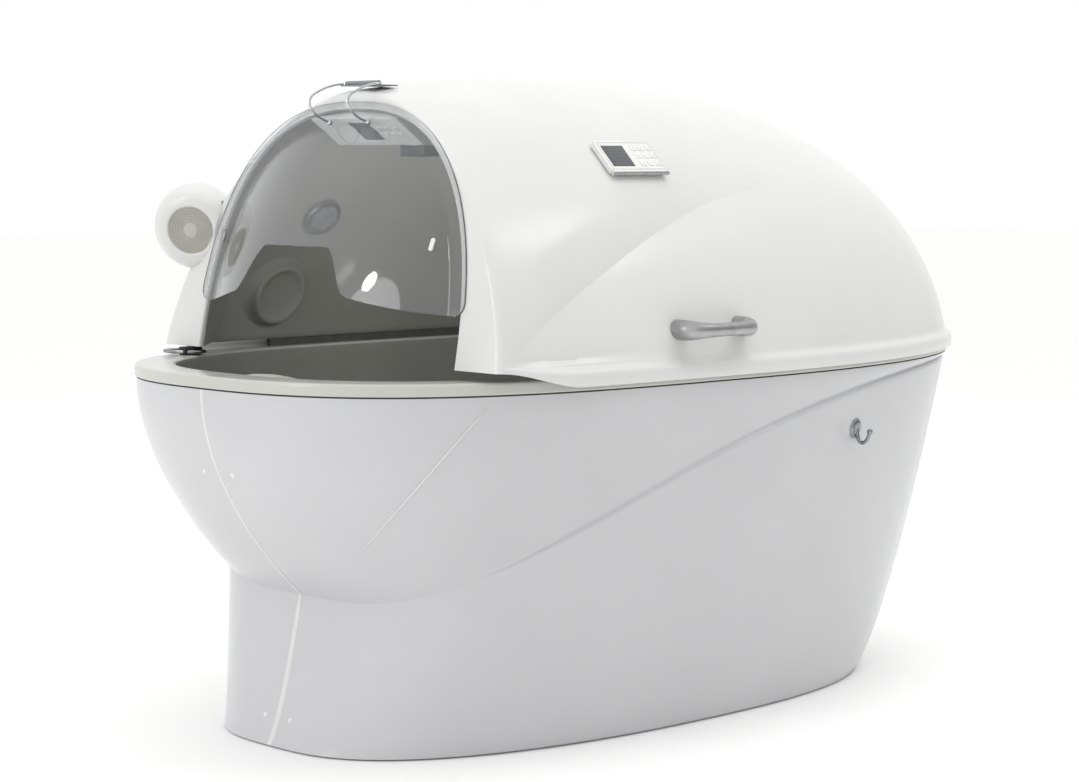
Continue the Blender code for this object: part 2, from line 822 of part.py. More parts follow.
def fascia_back(height):
    # Length at which the leaning front face of the lid ends
    lean = LID_LEAN_DEPTH / ARCH_RISE
    return LID_FRONT_X + lean * (height - FRONT_EDGE) + LID_WALL * math.hypot(1, lean)


def lip_point(station, row):
    x = lid_edge(station).x
    share = edge_sweep(x)
    low = FRONT_EDGE + (LIP_LOW - FRONT_EDGE) * share
    heights = (low, low + LIP_TALL, low + LIP_TALL + LIP_SLOPE)
    outs = (LIP_OUT * share, LIP_OUT * share, 0.0)
    return leaned(raised(offset(lid_edge, station, outs[row]), heights[row]))


def mirrored_row(row):
    # Rows run from the near edge over the ridge to the far edge
    if row <= SIDE_ROWS:
        return row, 1
    return 2 * SIDE_ROWS - row, -1


def lid_point(column, row):
    level, side = mirrored_row(row)
    angle = SECTION_ANGLES[level]
    if column == 0:
        point = arch_point(angle)
    elif column == 1:
        point = lid_rib(0, angle) if level >= LIP_ROWS else lip_point(0, level)
        point = point.lerp(arch_point(angle), FASCIA_EDGE / (RIM_HALF_WIDTH - ARCH_HALF_WIDTH))
    elif level < LIP_ROWS:
        point = lip_point(column - 2, level)
    else:
        point = lid_rib(column - 2, angle)
    point.y *= side
    return point


def make_lid_shell():
    columns = LID_FRONT_COLUMNS + LID_FOOT_COLUMNS + 2
    lid = add("lid_shell", surface(columns, 2 * SIDE_ROWS, lid_point), white_gelcoat, lid_axis)
    thicken(lid, LID_WALL, -1)
    return lid


def liner_point(column, row):
    level, side = mirrored_row(row)
    angle = SECTION_ANGLES[level]
    plan = offset(lid_edge, column, LINER_FLANGE_OUT - LINER_INSET)
    flange = raised(plan, DECK_HEIGHT + LINER_FLANGE_LIFT)
    if column == 0:
        point = arch_point(angle)
        point.x = fascia_back(point.z) + GAP
    elif level == 0:
        point = flange
    else:
        point = lid_rib(column, angle, LINER_INSET)
        point.z = max(point.z, flange.z + LINER_WALL * level)
    point.y *= side
    return point


def make_lid_liner():
    columns = LID_FRONT_COLUMNS + LID_FOOT_COLUMNS
    form = surface(columns, 2 * SIDE_ROWS, liner_point)
    liner = add("lid_liner", form, grey_liner, lid_axis)
    thicken(liner, LINER_WALL, 1)
    for vert in liner.data.vertices:
        vert.co.x = max(vert.co.x, fascia_back(vert.co.z) + GAP)
    return liner


def make_lid_seal():
    low = DECK_HEIGHT + GAP
    high = DECK_HEIGHT + LINER_FLANGE_LIFT - GAP
    first = LID_FRONT_COLUMNS * (1 - SEAL_START_X / LID_FRONT_X)
    last = LID_FRONT_COLUMNS + LID_FOOT_COLUMNS

    def corner(column, index):
        share = column / LID_FOOT_COLUMNS
        inset = LINER_INSET - (SEAL_WIDE if index in (1, 2) else 0.0)
        place = first + (last - first) * min(share, 2 - share)
        point = raised(offset(lid_edge, place, -inset), high if index > 1 else low)
        point.y *= 1 if share <= 1 else -1
        return point

    return add("lid_seal", strip(2 * LID_FOOT_COLUMNS, corner), black_rubber, lid_axis)


# Lid hinges

def hinge_profile(points):
    # Side view of a leaf: outward distance from the axis and height from the axis
    return [(HINGE_Y + out, HINGE_HEIGHT + up) for out, up in points]


def make_leaf(name, points, wide, station, carrier):
    turn = Matrix(((0, 0, 1), (1, 0, 0), (0, 1, 0))).to_4x4()
    form = outline_plate(hinge_profile(points), wide)
    bmesh.ops.transform(form, matrix=turn, verts=form.verts)
    bmesh.ops.translate(form, vec=(station - wide / 2, 0, 0), verts=form.verts)
    return add(name, form, steel, carrier, smooth=False)


def axis_cylinder(radius, station, wide):
    form = cylinder(radius, -wide / 2, wide / 2, SMALL_STEPS)
    turn = Matrix.Rotation(math.pi / 2, 4, "Y")
    bmesh.ops.transform(form, matrix=turn, verts=form.verts)
    bmesh.ops.translate(form, vec=(station, HINGE_Y, HINGE_HEIGHT), verts=form.verts)
    return form


def face_beside(carrier, station, wide, low, high):
    # Outward distance from the hinge axis to the proudest point of a carrier behind a leaf
    target = surface_tree(carrier)
    found = []
    for across in range(SMALL_STEPS + 1):
        for up in range(SMALL_STEPS + 1):
            x = station + wide * across / SMALL_STEPS - wide / 2
            z = HINGE_HEIGHT + low + (high - low) * up / SMALL_STEPS
            place = target.ray_cast(Vector((x, 2 * HINGE_Y, z)), Vector((0, -1, 0)))[0]
            if place:
                found.append(place.y)
    return max(found) - HINGE_Y + 2 * GAP


def make_hinge(label, station, hull, lid):
    bite = KNUCKLE_RADIUS / 2
    wall = face_beside(hull, station, HINGE_WIDE, -HINGE_BASE_TALL, -2 * KNUCKLE_RADIUS)
    lip = face_beside(lid, station, HINGE_ARM_WIDE, HINGE_DROP + 2 * GAP, HINGE_DROP + HINGE_ARM_TALL)
    base_points = [
        (wall, -HINGE_BASE_TALL),
        (wall + HINGE_LEAF, -HINGE_BASE_TALL),
        (wall + HINGE_LEAF, -3 * KNUCKLE_RADIUS),
        (bite, -bite),
        (-bite, -bite),
        (wall, -2 * KNUCKLE_RADIUS),
    ]
    base = make_leaf(f"hinge_base_{label}", base_points, HINGE_WIDE, station, capsule)
    arm_points = [
        (-bite, 0),
        (bite, 0),
        (bite, bite),
        (lip + HINGE_LEAF, HINGE_DROP + HINGE_ARM_TALL),
        (lip, HINGE_DROP + HINGE_ARM_TALL),
        (lip, HINGE_DROP),
    ]
    arm = make_leaf(f"hinge_arm_{label}", arm_points, HINGE_ARM_WIDE, station, lid_axis)
    slot = HINGE_ARM_WIDE + 2 * GAP
    barrel = add_cutter(axis_cylinder(KNUCKLE_RADIUS, station, HINGE_WIDE))
    bore = add_cutter(axis_cylinder(HINGE_PIN_RADIUS + GAP, station, 2 * HINGE_WIDE))
    space = 3 * KNUCKLE_RADIUS
    notch = add_cutter(box((slot, space, space), (station, HINGE_Y, HINGE_HEIGHT)))
    knuckle = add_cutter(axis_cylinder(KNUCKLE_RADIUS, station, HINGE_ARM_WIDE))
    combine(base, barrel, "UNION")
    combine(base, notch, "DIFFERENCE")
    combine(base, bore, "DIFFERENCE")
    combine(arm, knuckle, "UNION")
    combine(arm, bore, "DIFFERENCE")
    settle(base)
    settle(arm)
    add(f"hinge_pin_{label}", axis_cylinder(HINGE_PIN_RADIUS, station, HINGE_WIDE), steel, capsule)


# Bow handle

def make_handle(lid):
    half = HANDLE_LONG / 2
    points = []
    radii = []
    wall = -lid_reach(HANDLE_X, HANDLE_HEIGHT)
    for index in range(HANDLE_STEPS + 1):
        turn = math.pi * index / HANDLE_STEPS
        x = HANDLE_X - half * signed_power(math.cos(turn), HANDLE_BOW_POWER)
        y = wall - SEAT_START - HANDLE_STANDOFF * math.sin(turn) ** HANDLE_BOW_POWER
        points.append((x, y, HANDLE_HEIGHT))
        swell = abs(math.cos(turn)) ** HANDLE_SWELL_POWER
        radii.append(HANDLE_MIDDLE_RADIUS + (HANDLE_END_RADIUS - HANDLE_MIDDLE_RADIUS) * swell)
    handle = wire("lid_handle", points, radii, chrome, lid_axis)
    form = bmesh.new()
    form.from_mesh(handle.data)
    feet = [face for face in form.faces if len(face.verts) > QUAD]
    bmesh.ops.poke(form, faces=feet)
    form.to_mesh(handle.data)
    form.free()
    foot_start = wall - SEAT_START - HANDLE_STANDOFF / 4
    foot_points = [vert for vert in handle.data.vertices if vert.co.y > foot_start]
    for vert in foot_points:
        vert.co.y = wall - HANDLE_STANDOFF
    fit_back(handle, lid, Vector((0, 1, 0)), foot_points)


# Panels with keys

def key_places(columns, rows, right):
    # Key centres on a panel face, with the block of keys against its right-hand margin
    for row in range(rows):
        for column in range(columns):
            x = right - KEY_WIDE / 2 - (columns - 1 - column) * KEY_PITCH
            yield x, ((rows - 1) / 2 - row) * KEY_PITCH


def face_pockets(columns, rows, half_width):
    # Pockets for the display and the keys, cut into a face that lies at Z 0
    tall = KEY_THICK - KEY_PROUD + KEY_TRAVEL + GAP
    form = bmesh.new()
    pockets = [(display_x(half_width), 0, DISPLAY_WIDE, DISPLAY_TALL, DISPLAY_SINK)]
    for x, y in key_places(columns, rows, half_width - KEY_MARGIN):
        pockets.append((x, y, KEY_WIDE, KEY_TALL, tall))
    for x, y, wide, high, deep in pockets:
        size = Matrix.Diagonal((wide + 2 * GAP, high + 2 * GAP, 2 * deep, 1))
        bmesh.ops.create_cube(form, size=1.0, matrix=Matrix.Translation((x, y, 0)) @ size)
    return form


def display_x(half_width):
    return -half_width + DISPLAY_MARGIN + DISPLAY_WIDE / 2


def make_face(label, body, columns, rows, half_width, face):
    combine(body, add_cutter(face_pockets(columns, rows, half_width), face), "DIFFERENCE")
    settle(body)
    glass = box((DISPLAY_WIDE, DISPLAY_TALL, DISPLAY_SINK - 2 * GAP), (0, 0, -DISPLAY_SINK / 2))
    place = face @ Matrix.Translation((display_x(half_width), 0, 0))
    add(f"{label}_display", glass, display_glass, lid_axis, place, smooth=False)
    for number, (x, y) in enumerate(key_places(columns, rows, half_width - KEY_MARGIN), 1):
        key = box((KEY_WIDE, KEY_TALL, KEY_THICK), (0, 0, KEY_PROUD - KEY_THICK / 2))
        place = face @ Matrix.Translation((x, y, 0))
        add(f"{label}_key_{number}", key, white_plastic, lid_axis, place, smooth=False)


def make_outer_panel(lid):
    y = -lid_half_width(PANEL_X) * PANEL_REACH
    place = Vector((PANEL_X, y, lid_height(PANEL_X, y)))
    slope = (lid_height(PANEL_X, y + PLAN_STEP) - lid_height(PANEL_X, y - PLAN_STEP)) / (2 * PLAN_STEP)
    normal = Vector((0, -slope, 1)).normalized()
    frame = facing(place + normal * SEAT_START, normal)
    plate = box((PANEL_WIDE, PANEL_TALL, PANEL_THICK), (0, 0, PANEL_THICK / 2))
    upright = [edge for edge in plate.edges if abs((edge.verts[0].co - edge.verts[1].co).z) > MERGE]
    bmesh.ops.bevel(plate, geom=upright, offset=PANEL_ROUND, segments=BEVEL_STEPS, affect="EDGES")
    bezel = add("panel_bezel", plate, white_plastic, lid_axis, frame, smooth=False)
    seat(bezel, lid, -normal)
    bpy.context.view_layer.update()
    face = bezel.matrix_world @ Matrix.Translation((0, 0, PANEL_THICK))
    make_face("panel", bezel, 3, 3, PANEL_WIDE / 2, face)


def make_console(liner):
    # Wedge under the top of the arch, its face turned down towards the client
    rise = CONSOLE_FACE * math.sin(CONSOLE_TILT)
    run = CONSOLE_FACE * math.cos(CONSOLE_TILT)
    low = CONSOLE_LOW_HEIGHT
    front = CONSOLE_LOW_X - run
    top = low + rise + TRAY_THICK
    section = [(CONSOLE_LOW_X, low), (front, low + rise)]
    for index in range(CONSOLE_TOP_STEPS + 1):
        share = index / CONSOLE_TOP_STEPS
        section.append((front + TUBE / 2 + (CONSOLE_DEEP - TUBE / 2) * share, top))
    section.append((front + CONSOLE_DEEP, low))

    def place(column, row):
        x, z = section[row % len(section)]
        return Vector((x, CONSOLE_WIDE / 2 - CONSOLE_WIDE * column / CONSOLE_SLICES, z))

    form = surface(CONSOLE_SLICES, len(section), place)
    bmesh.ops.holes_fill(form, edges=form.edges)
    bmesh.ops.recalc_face_normals(form, faces=form.faces)
    housing = add("console_housing", form, white_plastic, lid_axis, smooth=False)
    crown = [vert for vert in housing.data.vertices if vert.co.z > top - MERGE]
    for vert in crown:
        vert.co.z = low
    fit_back(housing, liner, Vector((0, 0, 1)), crown)
    housing.matrix_world = Matrix.Translation((0, 0, -SEAT_START))
    seat(housing, liner, Vector((0, 0, 1)))
    bpy.context.view_layer.update()
    drop = housing.matrix_world.translation
    normal = Vector((-math.sin(CONSOLE_TILT), 0, -math.cos(CONSOLE_TILT)))
    middle = Vector((CONSOLE_LOW_X - run / 2, -CONSOLE_SHIFT, low + rise / 2))
    face = facing(middle + drop, normal, Vector((0, -1, 0)))
    make_face("console", housing, 3, 2, PANEL_WIDE / 2, face)
    long, wide, tall = VENT_SIZE
    vent_place = (CONSOLE_LOW_X + long / 2, -CONSOLE_WIDE / 2 + wide / 2, low + drop.z - GAP - tall / 2)
    add("aroma_vent", box(VENT_SIZE, vent_place), black_plastic, lid_axis, smooth=False)


# Fan

def dome_side(x, height):
    # Point on the far side of the dome and the direction that leads away from it
    def place(along, up):
        return leaned(Vector((along, lid_reach(along, up), up)))

    middle = place(x, height)
    ahead = place(x + PLAN_STEP, height) - middle
    climb = place(x, height + PLAN_STEP) - middle
    return middle, climb.cross(ahead).normalized()


def cowl_profile():
    # Rounded shoulder from the lip to the widest ring, then a rounded back
    points = [(0, FAN_WALL)]
    for step in range(COWL_STEPS + 1):
        turn = math.pi * step / (2 * COWL_STEPS)
        radius = FAN_LIP_RADIUS + (FAN_COWL_RADIUS - FAN_LIP_RADIUS) * math.sin(turn)
        points.append((radius, FAN_WALL - FAN_SHOULDER_DEEP * (1 - math.cos(turn))))
    for step in range(1, COWL_STEPS + 1):
        turn = math.pi * step / (2 * COWL_STEPS)
        depth = FAN_SHOULDER_DEEP + FAN_BACK_DEEP * math.sin(turn)
        points.append((FAN_COWL_RADIUS * math.cos(turn), FAN_WALL - depth))
    points[-1] = (0, points[-1][1])
    return points


def make_fan():
    level = math.cos(FAN_TILT)
    direction = Vector((-math.cos(FAN_TURN) * level, -math.sin(FAN_TURN) * level, -math.sin(FAN_TILT)))
    frame = facing(Vector(FAN_PLACE), direction, Vector((0, 0, 1)))
    into = frame.inverted()
    front = Vector((LID_FRONT_X, 0, FRONT_EDGE))
    across = Vector((-ARCH_RISE, 0, LID_LEAN_DEPTH)).normalized()

    def trimmed(form, clear):
        # What is inside the fan stays in front of the lid's front face
        point = into @ (front + across * clear)
        trim(form, point, into.to_3x3() @ -across)
        return form

    cowl = turned("fan_cowl", cowl_profile(), white_gelcoat, lid_axis, frame)
    height = FAN_PLACE[2]
    edge = Vector((0, visor_half(height), height))
    along = Vector((0, visor_half(height + PLAN_STEP), height + PLAN_STEP)) - edge
    inward = Vector((0, -along.z, along.y)).normalized()
    trim_piece(cowl, frame, edge - inward * FAN_VISOR_CLEAR, inward)
    # The lid's front corner is cut out of the cowl, so that it sits round the corner
    size = 2 * (FAN_SHOULDER_DEEP + FAN_BACK_DEEP) + 2 * FAN_COWL_RADIUS
    corner = box((size, size, size), FAN_PLACE)
    side, outward = dome_side(FAN_SIDE_X, height)
    trim(corner, front + across * GAP, across)
    trim(corner, side + outward * GAP, outward)
    bmesh.ops.recalc_face_normals(corner, faces=corner.faces)
    combine(cowl, add_cutter(corner), "DIFFERENCE")
    cavity = trimmed(cylinder(FAN_MOUTH_RADIUS, -FAN_CAVITY_DEEP, FAN_CAVITY_DEEP), GAP + FAN_WALL)
    combine(cowl, add_cutter(cavity, frame), "DIFFERENCE")
    settle(cowl)

    motor_top = -FAN_ROTOR_DEPTH - FAN_ROTOR_THICK - GAP
    motor_low = GAP - FAN_CAVITY_DEEP
    motor = trimmed(cylinder(FAN_MOTOR_RADIUS, motor_low, motor_top, SMALL_STEPS), 2 * GAP + FAN_WALL)
    add("fan_motor", motor, black_plastic, lid_axis, frame)

    steps = FAN_BLADES * BLADE_STEPS
    outer = []
    for index in range(steps):
        turn = 2 * math.pi * index / steps
        lobe = max(math.cos(FAN_BLADES * turn), 0.0) ** FAN_BLADE_POWER
        radius = FAN_HUB_RADIUS + (FAN_ROTOR_RADIUS - FAN_HUB_RADIUS) * lobe
        outer.append((radius * math.cos(turn), radius * math.sin(turn)))
    rotor = outline_plate(outer, FAN_ROTOR_THICK)
    twist = Matrix.Rotation(FAN_TWIST, 3, "Z")
    upper = [vert for vert in rotor.verts if vert.co.z > FAN_ROTOR_THICK / 2]
    bmesh.ops.transform(rotor, matrix=twist.to_4x4(), verts=upper)
    bmesh.ops.triangulate(rotor, faces=rotor.faces)
    place = frame @ Matrix.Translation((0, 0, motor_top + GAP))
    add("fan_rotor", rotor, white_plastic, fan_axis, place)

    pitch = (FAN_MOUTH_RADIUS - GAP - FAN_HUB_RADIUS) / GRILLE_RINGS
    seat = frame @ Matrix.Translation((0, 0, FAN_WALL))
    hub = [(0, 0), (FAN_HUB_RADIUS, 0), (FAN_HUB_RADIUS, -GRILLE_BAR), (0, -GRILLE_BAR)]
    grille = turned("fan_grille", hub, white_plastic, lid_axis, seat)
    bars = []
    for number in range(1, GRILLE_RINGS + 1):
        radius = FAN_HUB_RADIUS + pitch * number
        ring = [
            (radius - GRILLE_BAR, 0),
            (radius, 0),
            (radius, -GRILLE_BAR),
            (radius - GRILLE_BAR, -GRILLE_BAR),
            (radius - GRILLE_BAR, 0),
        ]
        bars.append(turned("ring", ring, white_plastic, lid_axis, seat))
    long = 2 * (FAN_MOUTH_RADIUS - GRILLE_BAR / 2)
    for turn in (0, math.pi / 2):
        bar = box((long, GRILLE_BAR, GRILLE_CROSS), (0, 0, -GRILLE_BAR / 2))
        bmesh.ops.rotate(bar, matrix=Matrix.Rotation(turn, 3, "Z"), verts=bar.verts)
        bars.append(add("bar", bar, white_plastic, lid_axis, seat))
    for bar in bars:
        combine(grille, bar, "UNION")
    settle(grille)
    trim_piece(grille, seat, front + across * (2 * GAP + FAN_WALL), -across)
    for bar in bars:
        bpy.data.objects.remove(bar)


# Fittings on the far inner wall

def liner_frame(x, height):
    # Frame on the far inner wall of the lid, Z into the lid
    y = lid_reach(x, height, LINER_INSET)
    ahead = lid_height(x, y + PLAN_STEP, LINER_INSET)
    behind = lid_height(x, y - PLAN_STEP, LINER_INSET)
    inward = Vector((0, (ahead - behind) / (2 * PLAN_STEP), -1)).normalized()
    place = leaned(Vector((x, y, height)))
    return facing(place, inward), inward


def make_speaker(liner):
    frame, inward = liner_frame(*SPEAKER_PLACE)
    form = cylinder(SPEAKER_RADIUS, SPEAKER_THICK / 2, SPEAKER_THICK)
    edges = [edge for edge in form.edges if all(vert.co.z > SPEAKER_THICK - MERGE for vert in edge.verts)]
    bmesh.ops.bevel(form, geom=edges, offset=SPEAKER_ROUND, segments=BEVEL_STEPS, affect="EDGES")
    speaker = add("wall_speaker", form, grey_liner, lid_axis, frame)
    middle = SPEAKER_THICK / 2 + MERGE
    fit_back(speaker, liner, -inward, [vert for vert in speaker.data.vertices if vert.co.z < middle])


def make_lamp(liner):
    frame, inward = liner_frame(*LAMP_PLACE)
    low = LAMP_PROUD - LAMP_THICK
    profile = [
        (LAMP_LENS_RADIUS + GAP, LAMP_PROUD),
        (LAMP_RADIUS - LAMP_THICK / 2, LAMP_PROUD),
        (LAMP_RADIUS, LAMP_PROUD - LAMP_THICK / 2),
        (LAMP_RADIUS, low),
        (LAMP_LENS_RADIUS + GAP, low),
        (LAMP_LENS_RADIUS + GAP, LAMP_PROUD),
    ]
    ring = turned("lamp_ring", profile, chrome, lid_axis, frame)
    glass = cylinder(LAMP_LENS_RADIUS, low, LAMP_PROUD - LAMP_LENS_SINK)
    lens = add("lamp_lens", glass, lamp_glass, lid_axis, frame)
    for piece in (ring, lens):
        fit_back(piece, liner, -inward, [vert for vert in piece.data.vertices if vert.co.z < low + MERGE])


# Visor

def visor_share(y, z):
    # 0 at the middle of the arch's foot, 1 along the visor's edge
    wide = abs(y) / (ARCH_HALF_WIDTH + VISOR_OVERLAP)
    tall = max(z - FRONT_EDGE, 0.0) / (ARCH_RISE + VISOR_OVERLAP)
    return (wide ** ARCH_POWER + tall ** ARCH_POWER) ** (1 / ARCH_POWER)


def visor_top(y):
    wide = min(abs(y) / (ARCH_HALF_WIDTH + VISOR_OVERLAP), 1.0)
    return FRONT_EDGE + (ARCH_RISE + VISOR_OVERLAP) * (1 - wide ** ARCH_POWER) ** (1 / ARCH_POWER)


def visor_half(height):
    tall = (height - FRONT_EDGE) / (ARCH_RISE + VISOR_OVERLAP)
    return (ARCH_HALF_WIDTH + VISOR_OVERLAP) * (1 - tall ** ARCH_POWER) ** (1 / ARCH_POWER)


def visor_bottom(y, half):
    # Two low lobes with rounded corners, and the cut for the face between them
    cut_end = VISOR_CUT_HALF + VISOR_CUT_SLOPE / 2
    share = min((half - abs(y)) / (half - cut_end), 1.0)
    lobe = VISOR_CORNER_HEIGHT + VISOR_LOBE_RISE * share ** VISOR_LOBE_POWER
    cut = smooth_step((cut_end - abs(y)) / VISOR_CUT_SLOPE)
    corner = max(1 - (half - abs(y)) / VISOR_CORNER_ROUND, 0.0)
    rounding = VISOR_CORNER_ROUND * (1 - math.sqrt(1 - corner * corner))
    return lobe + VISOR_CUT_RISE * cut + rounding


def visor_point(y, z):
    dome = 1 - min(visor_share(y, z) / VISOR_RIM, 1.0) ** 2
    point = leaned(Vector((LID_FRONT_X, y, z)))
    point.x -= VISOR_STANDOFF + VISOR_BULGE * dome
    return point


def make_visor():
    half = visor_half(VISOR_CORNER_HEIGHT + VISOR_CORNER_ROUND)

    def place(column, row):
        y = -half * math.cos(math.pi * column / VISOR_COLUMNS)
        low = visor_bottom(y, half)
        high = max(visor_top(y), low)
        return visor_point(y, low + (high - low) * row / VISOR_ROWS)

    visor = add("visor", surface(VISOR_COLUMNS, VISOR_ROWS, place), clear_acrylic, visor_axis)
    thicken(visor, VISOR_WALL, -1)
    return visor


def make_bracket(lid):
    # Plate on the crest of the lid with the barrel that the visor turns about
    height = lid_height(VISOR_AXIS_X, 0) + VISOR_BARREL_RADIUS + SEAT_START
    plate = box((BRACKET_DEEP, 2 * VISOR_BARREL_HALF, BRACKET_PLATE), (BRACKET_DEEP / 4, 0, 0))
    drop = VISOR_BARREL_RADIUS - BRACKET_PLATE / 2
    bmesh.ops.translate(plate, vec=(0, 0, -drop), verts=plate.verts)
    frame = Matrix.Translation((VISOR_AXIS_X, 0, height))
    bracket = add("visor_bracket", plate, steel, lid_axis, frame, smooth=False)
    barrel = cylinder(VISOR_BARREL_RADIUS, -VISOR_BARREL_HALF, VISOR_BARREL_HALF, SMALL_STEPS)
    turn = Matrix.Rotation(math.pi / 2, 4, "X")
    combine(bracket, add_cutter(barrel, frame @ turn), "UNION")
    settle(bracket)
    seat(bracket, lid, Vector((0, 0, -1)), 2 * SEAT_REACH)
    bpy.context.view_layer.update()
    return bracket.matrix_world.translation


def make_wire_arm(label, side, visor, height):
    y = VISOR_BARREL_HALF + GAP
    screw_z = visor_top(y) - WIRE_SCREW_DROP
    ahead = Vector((-HEAD_REACH, y + WIRE_OUT, screw_z - WIRE_RADIUS))
    screw = surface_tree(visor).ray_cast(ahead, Vector((1, 0, 0)))[0]
    front = VISOR_AXIS_X - WIRE_REACH
    turn_top = height - WIRE_DIP
    out = y + WIRE_OUT
    points = [(VISOR_AXIS_X, y, height), (VISOR_AXIS_X, out - WIRE_RADIUS, height)]
    for step in range(WIRE_RUN_STEPS + 1):
        share = step / WIRE_RUN_STEPS
        run = (WIRE_REACH - WIRE_RADIUS) * share
        points.append((VISOR_AXIS_X - WIRE_RADIUS - run, out, height - WIRE_DIP * share * share))
    points += [
        (front - WIRE_OUT / 2, out, turn_top - WIRE_TURN / 2),
        (front + WIRE_OUT / 2, out, turn_top - WIRE_TURN),
        (screw.x - WIRE_OUT, out, screw_z),
        (screw.x - 2 * WIRE_RADIUS, out, screw_z - WIRE_RADIUS),
        (screw.x - WIRE_RADIUS / 2, out, screw_z - WIRE_RADIUS),
    ]
    points = [(x, side * y, z) for x, y, z in points]
    wire(f"visor_arm_{label}", points, [WIRE_RADIUS] * len(points), chrome, visor_axis)


# Headrest

def make_headrest(tub):
    # Cushion with a crown and drawn-in sides, standing against the sloping head wall
    long, wide, tall = HEADREST_SIZE
    form = bmesh.new()
    bmesh.ops.create_cube(form, size=2.0)
    bmesh.ops.subdivide_edges(form, edges=form.edges, cuts=HEADREST_CUTS, use_grid_fill=True)
    for vert in form.verts:
        x, y, z = vert.co
        draw = 1 - HEADREST_DRAW * (1 - z * z)
        swell = (1 - x * x) * (1 - y * y)
        round_plan = 1 - HEADREST_CORNER * x * x * y * y
        vert.co.x = x * draw * round_plan * long / 2
        vert.co.y = y * draw * round_plan * wide / 2
        vert.co.z = z * (tall / 2 - HEADREST_CROWN + HEADREST_CROWN * swell)
    top = DECK_HEIGHT - HEADREST_TOP
    frame = Matrix.Translation((-FLOOR_HEAD_END, 0, top - tall / 2))
    headrest = add("headrest", form, grey_vinyl, capsule, frame)
    seat(headrest, tub, Vector((-1, 0, 0)), BASIN_HEAD_SLOPE + long)


# Base frame, feet and the units inside

def make_base_frame():
    low = FOOT_TALL + GAP
    middle = low + TUBE / 2
    long = FRAME_FOOT_X - FRAME_HEAD_X
    centre = (FRAME_FOOT_X + FRAME_HEAD_X) / 2
    wide = 2 * FRAME_HALF_WIDTH
    top = BASIN_FLOOR - TUB_WALL - GAP
    members = []
    for side in (-1, 1):
        members.append(((long, TUBE, TUBE), (centre, side * (FRAME_HALF_WIDTH - TUBE / 2), middle)))
    for x in (FRAME_HEAD_X + TUBE / 2, POST_HEAD_X, POST_FOOT_X, FRAME_FOOT_X - TUBE / 2):
        members.append(((TUBE, wide - TUBE, TUBE), (x, 0, middle)))
    for x in (POST_HEAD_X, POST_FOOT_X):
        for side in (-1, 1):
            post = (POST_DEEP, TUBE, top - middle)
            members.append((post, (x, side * POST_HALF_WIDTH, (top + middle) / 2)))
        rail = (TUBE, 2 * POST_HALF_WIDTH + TUBE + 2 * RAIL_OVERHANG, TUBE)
        members.append((rail, (x, 0, top - TUBE / 2)))
    tray = (POST_FOOT_X - POST_HEAD_X, wide - TUBE, TRAY_THICK)
    members.append((tray, ((POST_FOOT_X + POST_HEAD_X) / 2, 0, low + TUBE)))
    size, place = members[0]
    base = add("base_frame", box(size, place), steel, capsule, smooth=False)
    for size, place in members[1:]:
        combine(base, add_cutter(box(size, place)), "UNION")
    settle(base)


def make_feet():
    profile = [
        (0, FOOT_TALL),
        (FOOT_STEM_RADIUS, FOOT_TALL),
        (FOOT_STEM_RADIUS, FOOT_PAD_TALL + FOOT_STEM_RADIUS / 2),
        (FOOT_TOP_RADIUS, FOOT_PAD_TALL),
        (FOOT_RADIUS, 0),
        (0, 0),
    ]
    number = 0
    for x in (FRAME_HEAD_X + TUBE / 2, FRAME_FOOT_X - TUBE / 2):
        for side in (-1, 1):
            number += 1
            place = Matrix.Translation((x, side * (FRAME_HALF_WIDTH - TUBE / 2), 0))
            turned(f"foot_{number}", profile, black_rubber, capsule, place, SMALL_STEPS)


def make_units():
    low = FOOT_TALL + GAP + TUBE + TRAY_THICK / 2 + GAP
    for name, size, x, width, material in (
        ("steam_generator", STEAMER_SIZE, STEAMER_X, STEAMER_ROUND, steel),
        ("control_box", CONTROL_SIZE, CONTROL_X, CONTROL_ROUND, white_plastic),
    ):
        place = Matrix.Translation((x, 0, low + size[2] / 2))
        unit = add(name, box(size), material, capsule, place, smooth=False)
        round_edges(unit, width)
    steam_top = low + STEAMER_SIZE[2]
    profile = [
        (0, BASIN_FLOOR + GAP + OUTLET_CAP_TALL),
        (OUTLET_CAP_RADIUS - OUTLET_CAP_ROUND, BASIN_FLOOR + GAP + OUTLET_CAP_TALL),
        (OUTLET_CAP_RADIUS, BASIN_FLOOR + GAP + OUTLET_CAP_TALL / 2),
        (OUTLET_CAP_RADIUS, BASIN_FLOOR + GAP),
        (OUTLET_RADIUS, BASIN_FLOOR + GAP),
        (OUTLET_RADIUS, steam_top + GAP),
        (0, steam_top + GAP),
    ]
    turned("steam_outlet", profile, chrome, capsule, Matrix.Translation((STEAMER_X, 0, 0)))


# Fittings on the outside of the hull and on the deck

def hull_frame(x, height, side):
    # Frame on the pedestal's surface at a length and height, Z outwards
    low = math.pi / 2
    high = math.pi
    for _ in range(CREASE_ROUNDS):
        middle = (low + high) / 2
        if pedestal(middle, height).x < x:
            low = middle
        else:
            high = middle
    angle = low
    plan = pedestal(angle, height)
    tangent = pedestal(angle + PLAN_STEP, height) - pedestal(angle - PLAN_STEP, height)
    lean = offset(lambda place: pedestal(place, height + PLAN_STEP), angle, 0) - plan
    climb = Vector((lean.x, lean.y, PLAN_STEP))
    normal = Vector((tangent.x, tangent.y, 0)).cross(climb).normalized()
    frame_place = raised(plan, height)
    frame_place.y *= -side
    normal.y *= -side
    return facing(frame_place + normal * SEAT_START, normal, Vector((0, 0, 1))), normal


